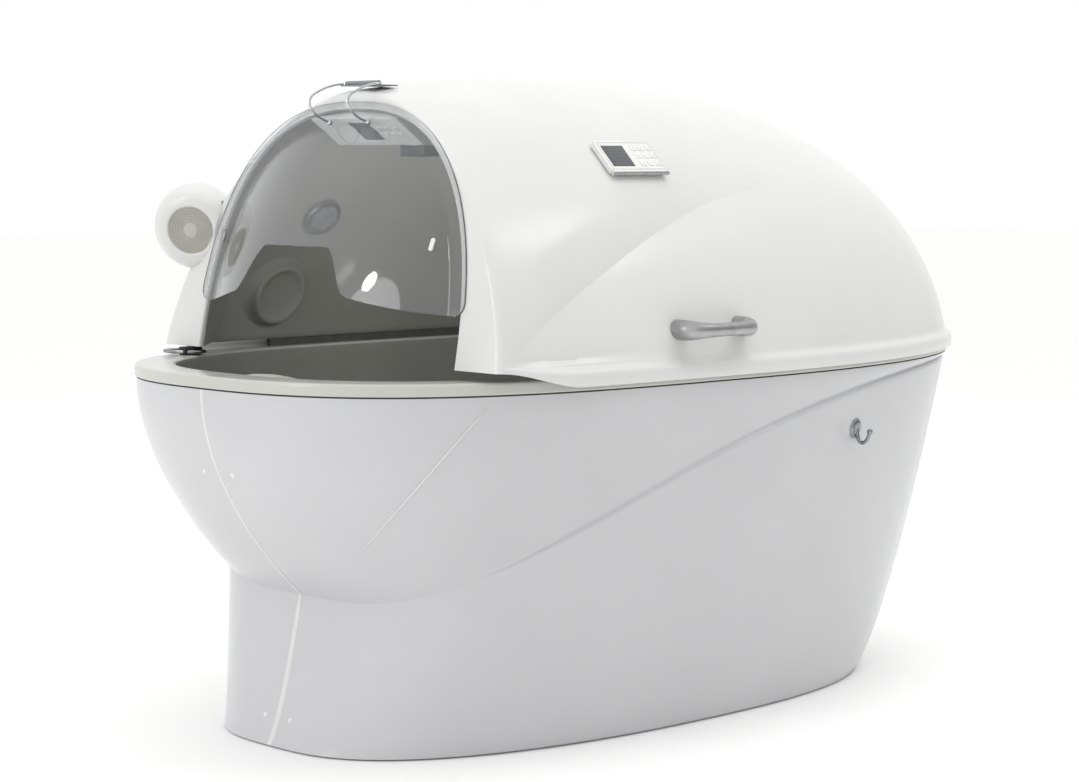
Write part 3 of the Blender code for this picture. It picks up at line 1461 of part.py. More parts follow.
def make_hook(near_half):
    frame, normal = hull_frame(HOOK_X, HOOK_HEIGHT, -1)
    profile = [
        (0, HOOK_ROSETTE_THICK),
        (HOOK_ROSETTE_RADIUS - HOOK_ROSETTE_EDGE, HOOK_ROSETTE_THICK),
        (HOOK_ROSETTE_RADIUS, HOOK_ROSETTE_THICK / 2),
        (HOOK_ROSETTE_RADIUS, 0),
        (0, 0),
    ]
    hook = turned("robe_hook", profile, chrome, capsule, frame)
    points = [(0, 0, HOOK_ROSETTE_THICK / 2)]
    for index in range(HOOK_STEPS + 1):
        turn = math.pi * index / HOOK_STEPS
        out = HOOK_ROSETTE_THICK + HOOK_OUT * (1 - math.cos(turn)) / 2
        points.append((-HOOK_DROP * math.sin(turn), 0, out))
    bend = wire("hook_wire", points, [HOOK_WIRE_RADIUS] * len(points), chrome, capsule, frame)
    combine(hook, bend, "UNION")
    settle(hook)
    bpy.data.objects.remove(bend)
    seat(hook, near_half, -normal)


def make_mains_inlet(far_half):
    frame, normal = hull_frame(INLET_X, INLET_HEIGHT, 1)
    form = box(INLET_SIZE, (0, 0, INLET_SIZE[2] / 2))
    inlet = add("mains_inlet", form, black_plastic, capsule, frame, smooth=False)
    round_edges(inlet, INLET_ROUND)
    seat(inlet, far_half, -normal)


def make_lid_rest():
    long, wide = REST_SIZE
    tall = FRONT_EDGE_LIFT - 2 * GAP - LID_WALL * LID_LEAN_DEPTH / ARCH_RISE
    place = Matrix.Translation((*REST_PLACE, DECK_HEIGHT + GAP + tall / 2))
    rest = add("lid_rest", box((long, wide, tall)), black_rubber, capsule, place, smooth=False)
    round_edges(rest, REST_ROUND)


# Assembly

capsule = axis_point("capsule_middle", (0, 0, 0))
lid_axis = axis_point("lid_axis", (0, HINGE_Y, HINGE_HEIGHT), capsule)
fan_axis = axis_point("fan_axis", FAN_PLACE, lid_axis)

hull_near = make_hull_half("hull_near", 0, -1)
hull_far = make_hull_half("hull_far", 1, 1)
tub_piece = make_tub()
make_rim_gasket()
make_drain()
lid_shell = make_lid_shell()
lid_liner = make_lid_liner()
make_lid_seal()
for hinge_label, hinge_station in zip(("head", "foot"), HINGE_STATIONS):
    make_hinge(hinge_label, hinge_station, hull_far, lid_shell)
make_handle(lid_shell)
make_outer_panel(lid_shell)
make_console(lid_liner)
make_fan()
make_speaker(lid_liner)
make_lamp(lid_liner)
visor_place = make_bracket(lid_shell)
visor_axis = axis_point("visor_axis", visor_place, lid_axis)
visor_piece = make_visor()
make_wire_arm("near", -1, visor_piece, visor_place.z)
make_wire_arm("far", 1, visor_piece, visor_place.z)
make_headrest(tub_piece)
make_base_frame()
make_feet()
make_units()
make_hook(hull_near)
make_mains_inlet(hull_far)
make_lid_rest()
for used in list(cutters.objects):
    bpy.data.objects.remove(used)
capsule.location.x = -LENGTH_MIDDLE
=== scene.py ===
import functools
import math

import bpy
from mathutils import Matrix, Vector
from mathutils.bvhtree import BVHTree


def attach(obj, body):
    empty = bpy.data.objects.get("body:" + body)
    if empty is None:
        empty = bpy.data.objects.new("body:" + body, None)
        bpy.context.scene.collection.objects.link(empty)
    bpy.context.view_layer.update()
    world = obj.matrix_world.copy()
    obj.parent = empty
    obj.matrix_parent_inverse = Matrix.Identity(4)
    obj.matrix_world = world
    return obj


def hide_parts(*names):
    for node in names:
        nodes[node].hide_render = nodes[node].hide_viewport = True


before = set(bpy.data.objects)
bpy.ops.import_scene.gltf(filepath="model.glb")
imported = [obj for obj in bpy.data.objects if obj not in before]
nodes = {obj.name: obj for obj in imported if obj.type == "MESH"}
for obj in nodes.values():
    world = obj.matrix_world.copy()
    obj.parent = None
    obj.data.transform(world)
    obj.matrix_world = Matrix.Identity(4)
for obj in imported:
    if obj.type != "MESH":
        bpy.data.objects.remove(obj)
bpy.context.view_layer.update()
print("frame loaded,", len(nodes), "nodes")

# All shapes are drawn about the widest station of the rim, then moved along X to the capsule's middle
shiftX = -0.145


# camera at the photograph's place
photoView = {"place": (-4.2405, -4.4004, 1.2661), "turn": 42.9159, "down": 5.2404, "lens": 86.75,
             "sensor": 36}


def placeCamera(settings):
    turn = math.radians(settings["turn"])
    down = math.radians(settings["down"])
    look = Vector((math.sin(turn) * math.cos(down), math.cos(turn) * math.cos(down), -math.sin(down)))
    bpy.ops.object.camera_add(location=settings["place"], rotation=look.to_track_quat("-Z", "Y").to_euler())
    camera = bpy.context.object
    camera.data.sensor_width = settings["sensor"]
    camera.data.sensor_fit = "HORIZONTAL"
    camera.data.lens = settings["lens"]
    bpy.context.scene.camera = camera


placeCamera(photoView)
print("camera placed")


# small helpers for working on one piece at a time
def deselectAll():
    if bpy.context.object and bpy.context.object.mode != "OBJECT":
        bpy.ops.object.mode_set(mode="OBJECT")
    bpy.ops.object.select_all(action="DESELECT")


def pick(piece):
    deselectAll()
    piece.select_set(True)
    bpy.context.view_layer.objects.active = piece


def editAll():
    bpy.ops.object.mode_set(mode="EDIT")
    bpy.ops.mesh.select_all(action="SELECT")


def leaveEdit():
    bpy.ops.object.mode_set(mode="OBJECT")


def closeUp(piece, gap=0.00001):
    # doubles merged, faces turned out
    pick(piece)
    editAll()
    bpy.ops.mesh.remove_doubles(threshold=gap)
    bpy.ops.mesh.normals_make_consistent(inside=False)
    leaveEdit()


def joinAll(pieces):
    # the first piece takes in the rest
    deselectAll()
    for piece in pieces:
        piece.select_set(True)
    bpy.context.view_layer.objects.active = pieces[0]
    bpy.ops.object.join()
    return bpy.context.object


def applyModifiers(piece):
    pick(piece)
    for modifier in list(piece.modifiers):
        bpy.ops.object.modifier_apply(modifier=modifier.name)


def addBevel(piece, width, steps=3, degrees=35):
    bevel = piece.modifiers.new("bevel", "BEVEL")
    bevel.width = width
    bevel.segments = steps
    bevel.limit_method = "ANGLE"
    bevel.angle_limit = math.radians(degrees)
    applyModifiers(piece)


def addWall(piece, wall, side):
    solid = piece.modifiers.new("wall", "SOLIDIFY")
    solid.thickness = wall
    solid.offset = side
    applyModifiers(piece)


def smoothShade(piece, degrees=34):
    pick(piece)
    bpy.ops.object.shade_smooth_by_angle(angle=math.radians(degrees))


def dress(piece, body, material, replaced=()):
    piece.data.materials.clear()
    piece.data.materials.append(material)
    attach(piece, body)
    if replaced:
        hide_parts(*replaced)
    return piece


def gridPiece(name, columns, rows, place, insidePoint, outward=True):
    # a grid whose points are laid on the drawn surface, doubles merged, faces turned out
    deselectAll()
    bpy.ops.mesh.primitive_grid_add(x_subdivisions=columns, y_subdivisions=rows, size=2)
    piece = bpy.context.object
    piece.name = name
    for vert in piece.data.vertices:
        column = round((vert.co.x + 1) / 2 * columns)
        row = round((vert.co.y + 1) / 2 * rows)
        point = place(column, row)
        vert.co = (point.x + shiftX, point.y, point.z)
    closeUp(piece, 0.00004)
    middle = Vector(insidePoint)
    spread = sum((face.center - middle).dot(face.normal) * face.area for face in piece.data.polygons)
    if (spread > 0) != outward:
        editAll()
        bpy.ops.mesh.flip_normals()
        leaveEdit()
    return piece


def settle(piece, place):
    # the place goes into the mesh, the object stays at the origin
    piece.matrix_world = place
    pick(piece)
    bpy.ops.object.transform_apply(location=True, rotation=True, scale=True)
    return piece


def facing(point, normal, along):
    # a place whose Z runs along the normal and whose X runs nearest to along
    out = Vector(normal).normalized()
    side = (Vector(along) - out * Vector(along).dot(out)).normalized()
    turn = Matrix((side, out.cross(side), out)).transposed()
    return Matrix.Translation(point) @ turn.to_4x4()


def lathe(name, profile, place, steps=64):
    # one point drawn out along the profile, then spun round Z
    deselectAll()
    bpy.ops.mesh.primitive_plane_add(size=0.01)
    piece = bpy.context.object
    piece.name = name
    bpy.ops.object.mode_set(mode="EDIT")
    bpy.ops.mesh.merge(type="CENTER")
    bpy.ops.transform.translate(value=(profile[0][0], 0, profile[0][1]))
    for before, after in zip(profile, profile[1:]):
        step = (after[0] - before[0], 0, after[1] - before[1])
        bpy.ops.mesh.extrude_vertices_move(TRANSFORM_OT_translate={"value": step})
    bpy.ops.mesh.select_all(action="SELECT")
    bpy.ops.mesh.spin(steps=steps, angle=2 * math.pi, center=(0, 0, 0), axis=(0, 0, 1))
    leaveEdit()
    closeUp(piece)
    smoothShade(piece, 40)
    return settle(piece, place)


def startPlate(name, wide, tall, corner, steps):
    # plane with rounded corners, left in edit mode
    deselectAll()
    bpy.ops.mesh.primitive_plane_add(size=1)
    piece = bpy.context.object
    piece.name = name
    bpy.ops.object.mode_set(mode="EDIT")
    bpy.ops.transform.resize(value=(wide, tall, 1))
    bpy.ops.mesh.bevel(affect="VERTICES", offset=corner, segments=steps)
    bpy.ops.mesh.select_all(action="SELECT")
    return piece


def thicken(piece, thick):
    bpy.ops.mesh.extrude_region_move(TRANSFORM_OT_translate={"value": (0, 0, -thick)})
    leaveEdit()
    closeUp(piece)


def slab(name, size, corner, edge, place):
    # rounded plate with its top face at Z 0
    wide, tall, thick = size
    piece = startPlate(name, wide, tall, corner, 6)
    thicken(piece, thick)
    addBevel(piece, edge)
    smoothShade(piece)
    return settle(piece, place)


def rod(name, points, radii, place=Matrix()):
    # round bar drawn along a smooth path
    deselectAll()
    bpy.ops.curve.primitive_nurbs_path_add()
    path = bpy.context.object.data
    path.splines.clear()
    line = path.splines.new("NURBS")
    line.points.add(len(points) - 1)
    for spot, point, radius in zip(line.points, points, radii):
        spot.co = (*point, 1)
        spot.radius = radius
    line.order_u = 4
    line.use_endpoint_u = True
    line.resolution_u = 8
    path.bevel_depth = 1.0
    path.bevel_resolution = 5
    path.use_fill_caps = True
    bpy.ops.object.convert(target="MESH")
    piece = bpy.context.object
    piece.name = name
    closeUp(piece)
    smoothShade(piece, 50)
    return settle(piece, place)


def copyNode(nodeName, pieceName):
    piece = bpy.data.objects.new(pieceName, nodes[nodeName].data.copy())
    bpy.context.scene.collection.objects.link(piece)
    return piece


def easedCopy(nodeName, width, body, finish, slot, steps=2, pieceName=None):
    # the CAD solid with its loose triangles joined and its sharp edges rounded, named after its node
    first, *rest = nodeName.split("_")
    piece = copyNode(nodeName, pieceName or first + "".join(word.title() for word in rest))
    pick(piece)
    editAll()
    bpy.ops.mesh.remove_doubles(threshold=0.00001)
    bpy.ops.mesh.dissolve_limited(angle_limit=math.radians(0.5))
    leaveEdit()
    addBevel(piece, width, steps)
    smoothShade(piece)
    return dress(piece, body, finish, [nodeName])


def smoothStep(value):
    inside = min(max(value, 0.0), 1.0)
    return inside * inside * (3 - 2 * inside)


def bend(first, corner, last, share):
    # rounded corner between two straight runs
    return first.lerp(corner, share).lerp(corner.lerp(last, share), share)


def bends(first, corner, last, steps):
    return [bend(first, corner, last, step / steps) for step in range(steps + 1)]


def waysOn(surface, first, second, step=0.01):
    # a point of a drawn surface, and the ways that lead along and up it
    middle = surface(first, second)
    ahead = surface(first + step, second) - middle
    climb = surface(first, second + step) - middle
    return middle + Vector((shiftX, 0, 0)), ahead, climb


# materials
noiseSpan = (0.3, 0.7)  # where most of a noise's values lie


def linear(hexText):
    channels = [int(hexText[at:at + 2], 16) / 255 for at in (0, 2, 4)]
    return [c / 12.92 if c <= 0.04045 else ((c + 0.055) / 1.055) ** 2.4 for c in channels] + [1.0]


def addNode(tree, kind, inputs, **settings):
    node = tree.nodes.new(kind)
    for name, value in settings.items():
        setattr(node, name, value)
    for name, value in inputs.items():
        if isinstance(value, bpy.types.NodeSocket):
            tree.links.new(value, node.inputs[name])
        else:
            node.inputs[name].default_value = value
    return node


def perMm(size):
    # noise scale for a pattern of this size in millimetres
    return 1000 / size


def makeFinish(name, look):
    material = bpy.data.materials.new(name)
    material.use_nodes = True
    tree = material.node_tree
    tree.nodes.clear()
    coords = addNode(tree, "ShaderNodeTexCoord", {}).outputs["Object"]
    stretch = addNode(tree, "ShaderNodeMapping", {"Vector": coords, "Scale": look.get("stretch", (1, 1, 1))})
    laid = stretch.outputs["Vector"]
    cloud = addNode(tree, "ShaderNodeTexNoise", {
        "Vector": coords, "Scale": perMm(look["cloudMm"]), "Detail": 3.0})
    tint = addNode(tree, "ShaderNodeValToRGB", {"Fac": cloud.outputs["Fac"]})
    for stop, place, colour in zip(tint.color_ramp.elements, noiseSpan, look["colours"]):
        stop.position = place
        stop.color = linear(colour)
    wear = addNode(tree, "ShaderNodeTexNoise", {
        "Vector": laid, "Scale": perMm(look["smearMm"]), "Detail": 4.0})
    rough = addNode(tree, "ShaderNodeMapRange", {
        "Value": wear.outputs["Fac"], "From Min": noiseSpan[0], "From Max": noiseSpan[1],
        "To Min": look["rough"][0], "To Max": look["rough"][1]})
    if look.get("cells"):
        grain = addNode(tree, "ShaderNodeTexVoronoi", {"Vector": laid, "Scale": perMm(look["grainMm"])})
        height = grain.outputs["Distance"]
    else:
        grain = addNode(tree, "ShaderNodeTexNoise", {
            "Vector": laid, "Scale": perMm(look["grainMm"]), "Detail": 2.0})
        height = grain.outputs["Fac"]
    relief = addNode(tree, "ShaderNodeBump", {
        "Height": height, "Distance": look["grainDeepMm"] / 1000, "Strength": look.get("grainStrength", 1.0)})
    colour = tint.outputs["Color"]
    if look.get("dots"):
        spots = addNode(tree, "ShaderNodeTexVoronoi", {
            "Vector": laid, "Scale": perMm(look["dots"]["mm"]), "Randomness": 0.0})
        inner, outer = look["dots"]["edge"]
        mask = addNode(tree, "ShaderNodeMapRange", {
            "Value": spots.outputs["Distance"], "From Min": inner, "From Max": outer,
            "To Min": 1.0, "To Max": 0.0})
        dotColour = linear(look["dots"]["colour"])
        mixed = addNode(tree, "ShaderNodeMix", {
            "Factor": mask.outputs["Result"], "A": colour, "B": dotColour}, data_type="RGBA")
        colour = mixed.outputs["Result"]
    shader = addNode(tree, "ShaderNodeBsdfPrincipled", {
        "Base Color": colour, "Roughness": rough.outputs["Result"], "Normal": relief.outputs["Normal"],
        **look.get("sockets", {})})
    addNode(tree, "ShaderNodeOutputMaterial", {"Surface": shader.outputs["BSDF"]})
    return material


# gelcoat: sprayed polyester over fibreglass, polished to a gloss with a trace of orange peel about 9 mm wide
gelcoat = {"cloudMm": 260, "smearMm": 90, "rough": (0.16, 0.24), "grainMm": 9, "grainDeepMm": 0.05,
           "grainStrength": 0.35, "sockets": {"IOR": 1.5}}
# hull: the gelcoat in a darker copy, painted shade beside the lid's lighter copy
shadedWhiteGelcoat = makeFinish("white polyester gelcoat", {**gelcoat, "colours": ("c3c3c5", "c6c6c8")})
# lid, fan cowl and seam trim: the same gelcoat as the hull's, painted a shade whiter as painted light; the
# hull's darker copy is painted shade
litWhiteGelcoat = makeFinish("white polyester gelcoat with painted light", {**gelcoat, "colours": ("d6d6d5", "d9d9d8")})
# tub deck and flange: the same gelcoat, a warmer batch
deckGelcoat = makeFinish("warm white polyester gelcoat", {
    **gelcoat, "colours": ("bebeb8", "c3c3bd"), "rough": (0.15, 0.22)})
# inside of the tub and lid, wall boss: thermoformed acrylic-capped ABS in warm grey, satin with a fine pebble
greyAbs = makeFinish("warm grey thermoformed ABS", {
    "colours": ("888882", "8e8e88"), "cloudMm": 180, "smearMm": 60, "rough": (0.36, 0.48),
    "grainMm": 3.2, "grainDeepMm": 0.06, "grainStrength": 0.4, "cells": True, "sockets": {"IOR": 1.5}})
# panels, keys, seam caps, near catch, control box: injection moulded ABS, light spark-eroded texture
whiteAbs = makeFinish("off-white moulded ABS", {
    "colours": ("dededb", "e4e4e1"), "cloudMm": 60, "smearMm": 25, "rough": (0.32, 0.44),
    "grainMm": 1.6, "grainDeepMm": 0.03, "grainStrength": 0.5, "sockets": {"IOR": 1.52}})
# fan cover and rotor: the same plastic aged a little creamier
creamAbs = makeFinish("cream moulded ABS", {
    "colours": ("afaea6", "b7b6ae"), "cloudMm": 40, "smearMm": 18, "rough": (0.36, 0.5),
    "grainMm": 1.4, "grainDeepMm": 0.03, "grainStrength": 0.5, "sockets": {"IOR": 1.52}})
# marks on the keys and the line round the outer panel: silver-grey paint on ABS
greyKeyAbs = makeFinish("silver grey painted ABS", {
    "colours": ("a9aaa9", "b4b5b4"), "cloudMm": 14, "smearMm": 8, "rough": (0.34, 0.46),
    "grainMm": 0.9, "grainDeepMm": 0.02, "sockets": {"Metallic": 0.25}})
# windows of panel and console: smoked polycarbonate over a dot display, dots 3 mm apart so that they show
dottedWindow = makeFinish("polycarbonate over dot display", {
    "colours": ("3c3d42", "46474c"), "cloudMm": 22, "smearMm": 30, "rough": (0.34, 0.44),
    "grainMm": 14, "grainDeepMm": 0.01, "dots": {"mm": 3, "edge": (0.30, 0.42), "colour": "77787d"},
    "sockets": {"IOR": 1.58}})
# visor arms, drain, steam outlet, hinge pins: chrome on brass, mirror bright with faint polishing haze
chromePlate = makeFinish("chrome plate", {
    "colours": ("c9cbcd", "d4d6d8"), "cloudMm": 30, "smearMm": 12, "rough": (0.10, 0.18),
    "grainMm": 20, "grainDeepMm": 0.01, "sockets": {"Metallic": 1.0}})
# lid handle, panel rod, hinges, far catch: zinc casting with satin nickel plate, brushed along its length
satinNickel = makeFinish("satin nickel plate", {
    "colours": ("a2a2a3", "b0b0b1"), "cloudMm": 24, "smearMm": 6, "rough": (0.26, 0.40),
    "stretch": (0.08, 1, 1), "grainMm": 1.2, "grainDeepMm": 0.03, "grainStrength": 0.6,
    "sockets": {"Metallic": 1.0}})
# base frame: square tube, hot-dip galvanised, with zinc flowers about 18 mm across
zincSteel = makeFinish("galvanised steel", {
    "colours": ("8f9396", "b3b6b8"), "cloudMm": 18, "smearMm": 14, "rough": (0.35, 0.55),
    "grainMm": 18, "grainDeepMm": 0.05, "cells": True, "sockets": {"Metallic": 1.0}})
# steam unit: painted sheet steel, light hammer texture
greyPaint = makeFinish("grey enamelled steel", {
    "colours": ("b6b8b9", "c2c4c5"), "cloudMm": 50, "smearMm": 30, "rough": (0.3, 0.42),
    "grainMm": 5, "grainDeepMm": 0.08, "cells": True, "sockets": {"IOR": 1.5}})
# robe hook, lamp ring, lining screw, visor bracket, lid catch: older chrome, gone grey
dullChrome = makeFinish("dull chrome plate", {
    "colours": ("8b8d90", "9b9da0"), "cloudMm": 16, "smearMm": 8, "rough": (0.16, 0.28),
    "grainMm": 12, "grainDeepMm": 0.02, "sockets": {"Metallic": 1.0}})
# rim gasket and lid seal: EPDM, dark grey and dull
rubber = {"cloudMm": 20, "smearMm": 12, "rough": (0.62, 0.8), "grainMm": 1.5, "grainDeepMm": 0.05,
          "sockets": {"IOR": 1.5}}
greyRubber = makeFinish("dark grey EPDM rubber", {**rubber, "colours": ("4e4e4b", "585855")})
# rubber feet and the lid's rest: EPDM, dull black with dusty bloom
blackRubber = makeFinish("black EPDM rubber", {**rubber, "colours": ("1b1b1b", "242424")})
# vent, inlet and motor: black ABS with a fine spark texture
blackAbs = makeFinish("black moulded ABS", {
    "colours": ("1d1d20", "26262a"), "cloudMm": 16, "smearMm": 10, "rough": (0.38, 0.52),
    "grainMm": 1.2, "grainDeepMm": 0.04, "sockets": {"IOR": 1.52}})
# headrest cover: foam-backed vinyl, light grey, leather-like cells about 2 mm wide
greyVinyl = makeFinish("light grey embossed vinyl", {
    "colours": ("b9b8b2", "c4c3bd"), "cloudMm": 35, "smearMm": 18, "rough": (0.42, 0.56),
    "grainMm": 2.2, "grainDeepMm": 0.25, "grainStrength": 0.6, "cells": True, "sockets": {"IOR": 1.5}})
# lamp lens: pressed glass behind a thin satin diffuser
lampGlass = makeFinish("satin pressed glass", {
    "colours": ("67686a", "757678"), "cloudMm": 12, "smearMm": 10, "rough": (0.2, 0.34),
    "grainMm": 4, "grainDeepMm": 0.2, "cells": True, "sockets": {"IOR": 1.5}})
# visor: cast acrylic, clear with a trace of smoke and a thin film of wiping haze
clearAcrylic = makeFinish("clear cast acrylic", {
    "colours": ("e9eaed", "eeeff1"), "cloudMm": 200, "smearMm": 120, "rough": (0.015, 0.05),
    "grainMm": 160, "grainDeepMm": 0.05, "sockets": {"IOR": 1.49, "Transmission Weight": 0.975}})
# cut edge of the visor: the sheet seen end on, where it looks dark, painted dark grey as painted shade
shadedAcrylicEdge = makeFinish("sawn acrylic edge in painted shade", {
    "colours": ("5b5c5e", "6a6b6d"), "cloudMm": 30, "smearMm": 12, "rough": (0.2, 0.34),
    "grainMm": 2, "grainDeepMm": 0.03, "sockets": {"IOR": 1.49}})
# floor: pale studio paper with a slight tooth, glowing a trace so that its far edge meets the white room
studioPaper = makeFinish("white studio paper", {
    "colours": ("fbfbfa", "fdfdfc"), "cloudMm": 900, "smearMm": 300, "rough": (0.6, 0.75),
    "grainMm": 4, "grainDeepMm": 0.05, "sockets": {"Emission Strength": 0.06}})
print("finishes made")


# outlines seen from above, angle 0 at the head, pi at the foot, the handle side first
rimPowers = {"headPowers": (3.14, 2.67), "footPowers": (2.44, 2.04)}
rimShape = {"head": 0.96, "foot": 1.24, "half": 0.605, **rimPowers}
footprint = {"head": 0.80, "foot": 0.905, "half": 0.45, "headPowers": (1.95, 3.0), "footPowers": (2.75, 2.5)}
pedestalTop = {"head": 0.627, "foot": 1.237, "half": 0.602, **rimPowers, "headPowers": (2.94, 4.42)}
basinMouth = {"head": 0.875, "foot": 1.15, "half": 0.535, **rimPowers}
basinBed = {"head": 0.60, "foot": 0.95, "half": 0.34, **rimPowers}
rimHeight = 0.778
deckHeight = 0.8071
evenPower = 1.3  # spaces columns about evenly along an outline


def signedPower(value, power):
    return math.copysign(abs(value) ** power, value)


def planOutline(angle, shape):
    along = math.cos(angle)
    across = math.sin(angle)
    end = "head" if along > 0 else "foot"
    powers = shape[end + "Powers"]
    x = -shape[end] * signedPower(along, 2 / powers[0])
    y = -shape["half"] * signedPower(across, 2 / powers[1])
    return Vector((x, y))


def evenAngle(halfTurns):
    turn = math.pi * halfTurns
    angle = math.acos(signedPower(math.cos(turn), evenPower))
    return angle if halfTurns <= 1 else 2 * math.pi - angle


def offsetPlan(curve, place, distance, step=0.01):
    # point beside a curve, outwards where the distance is positive
    tangent = (curve(place + step) - curve(place - step)).normalized()
    return curve(place) + distance * Vector((tangent.y, -tangent.x))


def raised(plan, height):
    return Vector((plan.x, plan.y, height))


def rimPlan(angle):
    return planOutline(angle, rimShape)


# hull: two gelcoat mouldings that meet at a seam along the middle
hullLook = {"columns": 150, "pedestalRows": 26, "cornerRows": 4, "bowlRows": 34, "wall": 0.006,
            "floorGap": 0.004, "flare": 0.69, "creaseLow": 0.28, "creaseHigh": 0.763,
            "creasePowers": (1.145, 2.92), "creaseRounds": 24, "bowlPower": 1.92, "bowlStart": 0.978,
            "ledge": 0.008, "ledgeRise": 0.6, "ledgeStart": -0.62, "ledgeFade": 0.25, "cornerRound": 0.007,
            "seamGap": 0.0008, "seamGroove": 0.0016, "seamEase": 0.003,
            "seamColumns": (0.002, 0.0045, 0.010, 0.020), "seamClear": (1.3, 0.012), "inside": (0.1, 0.45)}
hullRows = hullLook["pedestalRows"] + 2 * hullLook["cornerRows"] + hullLook["bowlRows"]


def pedestalPlan(angle, height):
    share = (height / rimHeight) ** hullLook["flare"]
    return planOutline(angle, footprint).lerp(planOutline(angle, pedestalTop), share)


def creaseHeight(x):
    share = min(max((x + footprint["head"]) / (footprint["head"] + rimShape["foot"]), 0.0), 1.0)
    start, end = hullLook["creasePowers"]
    rise = hullLook["creaseHigh"] - hullLook["creaseLow"]
    return hullLook["creaseLow"] + rise * (1 - (1 - share ** start) ** end)


@functools.lru_cache(maxsize=None)
def creasePoint(angle):
    height = hullLook["creaseLow"]
    for _ in range(hullLook["creaseRounds"]):
        height = (height + creaseHeight(pedestalPlan(angle, height).x)) / 2
    return raised(pedestalPlan(angle, height), height)


@functools.lru_cache(maxsize=None)
def bowlFoot(angle):
    low = creasePoint(angle)
    ledge = hullLook["ledge"] * smoothStep((low.x - hullLook["ledgeStart"]) / hullLook["ledgeFade"])
    inner = offsetPlan(lambda place: creasePoint(place).xy, angle, -ledge)
    return raised(inner, low.z + ledge * hullLook["ledgeRise"])


def bowlPoint(angle, share):
    low = bowlFoot(angle)
    plan = rimPlan(angle).lerp(low.xy, share ** hullLook["bowlPower"])
    return raised(plan, rimHeight + (low.z - rimHeight) * share)


def pedestalPoint(angle, height):
    return raised(pedestalPlan(angle, height), height)


def hullPoint(angle, row):
    corner = creasePoint(angle)
    foot = bowlFoot(angle)
    under = corner.z - hullLook["cornerRound"]
    over = hullLook["bowlStart"]
    rows = hullLook["pedestalRows"]
    rounds = hullLook["cornerRows"]
    if row < rows:
        low = hullLook["floorGap"]
        return pedestalPoint(angle, low + (under - low) * row / rows)
    row -= rows
    half = corner.lerp(foot, 0.5)
    if row <= rounds:
        return bend(pedestalPoint(angle, under), corner, half, row / rounds)
    row -= rounds
    if row <= rounds:
        return bend(half, foot, bowlPoint(angle, over), row / rounds)
    row -= rounds
    return bowlPoint(angle, over * (1 - row / hullLook["bowlRows"]))


def seamAngles():
    # a few close columns beside the seam, so that its edges can be eased
    def besideSeam(y, powers):
        return math.asin((y / rimShape["half"]) ** (powers[1] / 2))

    head = [besideSeam(y, rimShape["headPowers"]) for y in hullLook["seamColumns"]]
    foot = [math.pi - besideSeam(y, rimShape["footPowers"]) for y in hullLook["seamColumns"][:3]]
    even = [evenAngle(step / hullLook["columns"]) for step in range(hullLook["columns"] + 1)]
    times, less = hullLook["seamClear"]
    spread = [angle for angle in even if head[-1] * times < angle < foot[-1] - less]
    return [0.0] + head + spread + foot[::-1] + [math.pi]


def makeHullHalf(name, side):
    angles = seamAngles()
    if side > 0:
        angles = [2 * math.pi - angle for angle in reversed(angles)]

    def place(column, row):
        point = hullPoint(angles[column], row)
        ease = hullLook["seamGroove"] * math.exp(-(abs(point.y) / hullLook["seamEase"]) ** 2)
        point.x += math.copysign(ease, -point.x)
        return point

    y, z = hullLook["inside"]
    half = gridPiece(name, len(angles) - 1, hullRows, place, (0, side * y, z))
    addWall(half, hullLook["wall"], -1)
    for vert in half.data.vertices:
        vert.co.y = side * max(side * vert.co.y, hullLook["seamGap"] / 2)
        vert.co.z = min(max(vert.co.z, hullLook["floorGap"]), rimHeight)
    smoothShade(half, 40)
    return half


# hull halves in the darker gelcoat copy: painted shade
hullNear = dress(makeHullHalf("hullShellNear", -1), "hull", shadedWhiteGelcoat, ["hull_near"])
hullFar = dress(makeHullHalf("hullShellFar", 1), "hull", shadedWhiteGelcoat, ["hull_far"])
print("hull halves made")


# tub: rolled flange, white deck and the grey bathing basin
tubLook = {"columns": 220, "wall": 0.006, "flangeOut": 0.004, "flangeLow": 0.7816, "flangeRound": 0.007,
           "flangeEase": 0.002, "mouthRound": 0.012, "roundRows": 5, "depth": 0.34, "wallPower": 2.2,
           "wallRows": 30, "bedRows": 7, "greyDrop": 0.005, "greyEdge": 1.01, "inside": (0, 0, 0.79)}


def basinPoint(angle, share):
    plan = planOutline(angle, basinMouth).lerp(planOutline(angle, basinBed), share ** tubLook["wallPower"])
    return raised(plan, deckHeight - tubLook["depth"] * (1 - (1 - share) ** tubLook["wallPower"]))


def tubRows(angle):
    soft = tubLook["flangeRound"]
    lip = tubLook["mouthRound"]
    rounds = tubLook["roundRows"]
    out = tubLook["flangeOut"]
    outer = offsetPlan(rimPlan, angle, out)
    inner = offsetPlan(rimPlan, angle, out - soft)
    mouth = planOutline(angle, basinMouth)
    deckEnd = offsetPlan(lambda place: planOutline(place, basinMouth), angle, lip)
    ease = tubLook["flangeEase"]
    points = [raised(offsetPlan(rimPlan, angle, out - ease), tubLook["flangeLow"]),
              raised(outer, tubLook["flangeLow"] + ease)]
    top = raised(outer, deckHeight)
    points += bends(raised(outer, deckHeight - soft), top, raised(inner, deckHeight), rounds)
    edge = raised(mouth, deckHeight)
    startShare = 1 - (1 - lip / tubLook["depth"]) ** (1 / tubLook["wallPower"])
    wallTop = basinPoint(angle, startShare)
    points += bends(raised(deckEnd, deckHeight), edge, wallTop, rounds)
    for step in range(1, tubLook["wallRows"] + 1):
        points.append(basinPoint(angle, startShare + (1 - startShare) * step / tubLook["wallRows"]))
    for step in range(1, tubLook["bedRows"] + 1):
        plan = planOutline(angle, basinBed) * (1 - step / tubLook["bedRows"])
        points.append(raised(plan, points[-1].z))
    return points


def insideOutline(x, y, shape):
    # below 1 inside the outline, above 1 outside it
    end = "head" if x < 0 else "foot"
    along, across = shape[end + "Powers"]
    return abs(x / shape[end]) ** along + abs(y / shape["half"]) ** across


